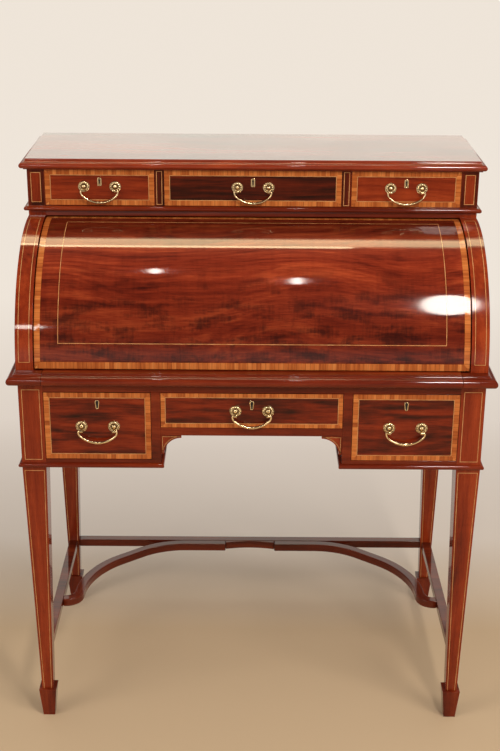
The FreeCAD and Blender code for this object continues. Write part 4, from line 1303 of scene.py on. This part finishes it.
def nut(x, y, z):
    """A square nut with a chamfered back and the rounded end of the shank standing out of it."""
    block = stepped_block(x, z, [(y, nut_half, nut_half), (y + 0.0030, nut_half, nut_half),
                                 (y + nut_thick, nut_chamfer, nut_chamfer)])
    shank = turned_piece([(0.0, shank_radius), (0.0037, shank_radius), (shank_reach, 0.0020)], (x, y, z),
                         (0.0, 1.0, 0.0), 0.4)
    return joined(block, shank)


# Half widths and half heights of the lock's box, its plate, and the plate's chamfered face.
lock_box, lock_plate, lock_face = (0.020, 0.014), (0.022, 0.016), (0.0216, 0.0156)
lock_depth, lock_lip, lock_screw = 0.0090, 0.0012, 0.018


def lock(x, y, z):
    """A lock let into the back of the front: its plate flush with the wood, with two screw heads."""
    body = stepped_block(x, z, [(y - lock_depth, *lock_box), (y - lock_lip, *lock_box),
                                (y - lock_lip, *lock_plate), (y - 0.0002, *lock_plate),
                                (y, *lock_face)])
    heads = [turned_piece([(-0.0004, 0.0020), (0.0002, 0.0017)], (x + side, y, z), (0.0, 1.0, 0.0), 0.7)
             for side in (-lock_screw, lock_screw)]
    return joined(body, *heads)

print("lock plate of half sizes", lock_plate)

# %% [markdown]
# Now every drawer gets its brasses. One loop reads each front's box and its bail's pivot from the frame, so
# no handle can drift from the drawer that carries it. What is screwed to the front is one piece; the bail is
# a piece of its own, because it swings on its lugs. The keyhole's opening is a third piece: a near-black
# plate, painted shade where the hole would be.

# %% Brasses on the drawers
keyhole_drop, drawer_gap = 0.0253, 0.0006
for drawer in DRAWERS:
    lo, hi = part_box(drawer + "_drawer_front")
    pivot = joints[drawer + "_bail_swing"]["pos_m"]
    x, front, back = (lo.x + hi.x) / 2, lo.y, hi.y
    handle_z = pivot[2] + hinge_drop
    key_z = hi.z + drawer_gap - keyhole_drop
    if drawer.startswith("upper"):
        keyhole = [keyhole_ring(x, front, key_z, ARCHED),
                   plate(x, front, key_z, ARCHED, inset=0.0010, proud=0.0002, patina=0.45)]
        # The keyhole's opening: a near-black plate of painted shade in place of a hole.
        dark = plate(x, front, key_z, KEY, inset=0.0, proud=0.0003, patina=0.0)
    else:
        keyhole = [keyhole_ring(x, front, key_z, DROP)]
        # The keyhole's opening: a near-black plate of painted shade in place of a hole.
        dark = plate(x, front, key_z, DROP, inset=0.0012, proud=0.0002, patina=0.0)
    shapes = [lock(x, back, key_z)] + keyhole
    for side in (-handle_half, handle_half):
        shapes += [rosette(x + side, front, handle_z), lug(x + side, front, pivot[2], front - pivot[1]),
                   nut(x + side, back, handle_z)]
    finished(drawer + "_brasses", joined(*shapes), brass, drawer + "_drawer",
             [drawer + "_drawer_hardware"])
    finished(drawer + "_keyhole_painted_shade", dark, keyhole_painted_shade, drawer + "_drawer")
    finished(drawer + "_bail_bent", bail(x, pivot[1], pivot[2]), brass, drawer + "_bail",
             [drawer + "_drawer_bail"])
print("handles on", len(DRAWERS), "drawers")

# %% [markdown]
# Behind the fall two small drawers have a turned knob each: a foot, a thin neck and a round head. A
# ball on a peg would show where they meet, so the knob is made as on a lathe: one profile, turned about
# its axis.

# %% Knobs inside
# Distance from the drawer and the radius there, both in millimetres.
KNOB = np.array([[0.0, 3.6], [0.8, 3.6], [1.4, 2.8], [3.4, 2.3], [4.8, 2.9], [5.6, 4.5], [6.6, 5.6],
                 [7.6, 6.0], [9.0, 5.8], [10.6, 4.9], [11.8, 3.4], [12.5, 1.8], [12.8, 0.4]]) / 1000.0
for side_name in ("left", "right"):
    lo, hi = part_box("small_knob_" + side_name)
    seat = ((lo.x + hi.x) / 2, hi.y, (lo.z + hi.z) / 2)
    finished("small_knob_" + side_name + "_turned", turned_piece(KNOB, seat, (0.0, -1.0, 0.0)), brass,
             "small_" + side_name + "_drawer", ["small_knob_" + side_name])
print("two knobs turned")

# %% [markdown]
# ## Floor
# The stage is one pale floor. It is warmer under the desk and in front of it, and fades outwards to a pale
# background. Between the two lies a greyer, darker band behind the desk and beyond its sides: painted shade,
# as of the desk's shadow on a wall. Far from the desk the lamps no longer reach. A curved backdrop could
# hide that, but from one side only, so there the floor glows with its own colour instead. Only the eye and
# mirrors see that glow, so it lights nothing.

# %% Floor
floor_half = 30.0
floor_mesh = bpy.data.meshes.new("floor")
floor_plan = np.array([[-1.0, -1.0, 0.0], [1.0, -1.0, 0.0], [1.0, 1.0, 0.0], [-1.0, 1.0, 0.0]])
floor_mesh.from_pydata((floor_half * floor_plan).tolist(), [], [(0, 1, 2, 3)])
floor = bpy.data.objects.new("floor", floor_mesh)
bpy.context.scene.collection.objects.link(floor)


def seen_directly(tree):
    """One for rays that the eye, a mirror or glass sends out, else nought."""
    ray = add(tree, "ShaderNodeLightPath").outputs
    mirror_or_eye = maths(tree, "MAXIMUM", ray["Is Camera Ray"], ray["Is Glossy Ray"])
    return maths(tree, "MAXIMUM", mirror_or_eye, ray["Is Transmission Ray"])


# The middle colour, greyer and darker than the far floor, is painted shade: a band behind the desk and
# beyond its sides.
NEAR_FLOOR, PAINTED_SHADE_FLOOR, FAR_FLOOR = (0.55, 0.40, 0.25), (0.70, 0.61, 0.53), (0.86, 0.78, 0.69)
floor_material, tree, shader = new_material("pale_floor")
warm_middle, warm_half, warm_fade = (0.0, -2.55, 0.0), (1.6, 2.65, 0.0), 2.5
here = place_on(tree, "Object")
offset = add(tree, "ShaderNodeVectorMath", {0: here, 1: warm_middle}, operation="SUBTRACT")
mirrored = add(tree, "ShaderNodeVectorMath", {0: offset.outputs[0]}, operation="ABSOLUTE")
outside = add(tree, "ShaderNodeVectorMath", {0: mirrored.outputs[0], 1: warm_half}, operation="SUBTRACT")
apart = add(tree, "ShaderNodeSeparateXYZ", {0: outside.outputs[0]}).outputs
spread = maths(tree, "DIVIDE", maths(tree, "MAXIMUM", apart["X"], apart["Y"]), warm_fade)
floor_colour = ramp(tree, spread, [(0.0, NEAR_FLOOR), (0.18, PAINTED_SHADE_FLOOR), (0.40, PAINTED_SHADE_FLOOR),
                                   (1.0, FAR_FLOOR)])
tree.links.new(floor_colour, shader.inputs["Base Color"])
shader.inputs["Roughness"].default_value = 0.8
glow = add(tree, "ShaderNodeEmission", {"Color": floor_colour, "Strength": 1.0})
fade = maths(tree, "MULTIPLY", ramp(tree, spread, [(0.10, 0.0), (0.50, 1.0)]), seen_directly(tree))
blended = add(tree, "ShaderNodeMixShader", {0: fade, 1: shader.outputs[0], 2: glow.outputs[0]})
tree.links.new(blended.outputs[0], tree.nodes["Material Output"].inputs["Surface"])
floor_mesh.materials.append(floor_material)
print("floor laid")

# %% [markdown]
# ## Surround
# An even, warm surround lights the desk from all sides. What the polish mirrors is another matter: it
# is pale low down and behind the desk, and darker overhead and behind the viewer, which keeps the front
# deep in colour. A studio picture could give that, but three short ramps do it without a file.

# %% Surround
world = bpy.data.worlds.new("surround")
bpy.context.scene.world = world
world.use_nodes = True
sky = world.node_tree
even = sky.nodes["Background"]
even.inputs["Color"].default_value = (1.0, 0.95, 0.88, 1.0)
even.inputs["Strength"].default_value = 0.55
facing = add(sky, "ShaderNodeTexCoord").outputs["Generated"]
toward = add(sky, "ShaderNodeSeparateXYZ", {0: facing}).outputs
dome = ramp(sky, toward["Z"], [(0.0, (0.80, 0.72, 0.63)), (0.30, (0.26, 0.23, 0.20)),
                               (1.0, (0.14, 0.12, 0.10))])
behind = ramp(sky, maths(sky, "MULTIPLY_ADD", toward["Y"], 0.5, 0.5), [(0.2, 0.45), (0.6, 1.0)])
above = ramp(sky, toward["Z"], [(0.02, 0.0), (0.12, 1.0)])
pale = add(sky, "ShaderNodeBackground", {"Color": multiplied(sky, above, dome, behind), "Strength": 1.0})
shown = add(sky, "ShaderNodeMixShader", {0: seen_directly(sky), 1: even.outputs[0], 2: pale.outputs[0]})
sky.links.new(shown.outputs[0], sky.nodes["World Output"].inputs["Surface"])
print("surround set")

# %% [markdown]
# ## Lamps
# A polished desk is mostly a mirror, so where the lamps stand matters more than how strong they are.
# Two soft boxes light it from the sides. Small oval lamps in front and overhead give the highlight at
# the right of the fall, the streak at its left and two sparkles between them. Behind and above, a strip
# with a softer one round it and a thin rim draw the gold band along the top of the fall, and a wide
# panel gives the top board its sheen. Those behind show in the polish only: they are hidden from
# diffuse rays, so that they don't bleach the wood.

# %% Lamps
WARM, GOLD, COOL = (1.0, 0.93, 0.84), (1.0, 0.82, 0.47), (0.97, 1.0, 0.88)


def soft_lamp(name, place, target, width, height, watts, colour=WARM, shape="RECTANGLE"):
    """A flat lamp that faces a point."""
    lamp = bpy.data.objects.new(name, bpy.data.lights.new(name, "AREA"))
    lamp.data.shape = shape
    lamp.data.size, lamp.data.size_y = width, height
    lamp.data.energy = watts
    lamp.data.color = colour
    lamp.location = place
    lamp.rotation_euler = (Vector(target) - Vector(place)).to_track_quat("-Z", "Y").to_euler()
    lamp.visible_camera = False
    bpy.context.scene.collection.objects.link(lamp)
    return lamp


fall_shoulder, top_middle = (0.0, -0.09, 0.99), (0.0, 0.0, 1.13)
soft_lamp("right_box", (2.1, -2.0, 2.4), (0.0, 0.0, 0.7), 1.2, 1.2, 38.0)
soft_lamp("left_box", (-2.3, -1.7, 2.0), (0.0, 0.0, 0.6), 1.4, 1.4, 24.0)
soft_lamp("front_spot", (0.72, -1.75, 2.57), (0.72, -0.20, 0.90), 0.21, 0.80, 21.0, shape="ELLIPSE")
soft_lamp("left_spot", (-0.784, -2.211, 1.735), (-0.784, -0.22, 0.86), 0.12, 0.15, 1.2, shape="ELLIPSE")
soft_lamp("left_sparkle", (-0.345, -0.573, 3.209), (-0.345, -0.155, 0.953), 0.045, 0.24, 1.5,
          shape="ELLIPSE")
soft_lamp("middle_sparkle", (0.170, -0.960, 3.097), (0.170, -0.17, 0.939), 0.045, 0.30, 1.9,
          shape="ELLIPSE")
sheens = [soft_lamp("back_strip", (0.0, 0.77, 2.845), fall_shoulder, 1.7, 0.34, 15.0, GOLD),
          soft_lamp("back_glow", (0.0, 0.81, 2.845), fall_shoulder, 1.9, 0.56, 11.0, GOLD),
          soft_lamp("back_rim", (-0.25, 0.55, 2.886), (-0.25, -0.09, 0.99), 1.2, 0.09, 8.0, GOLD),
          soft_lamp("back_panel", (0.0, 2.6, 1.62), top_middle, 3.6, 0.46, 6.2, COOL)]
for sheen in sheens:
    sheen.visible_diffuse = False
print("lamps set:", len(bpy.data.lights))
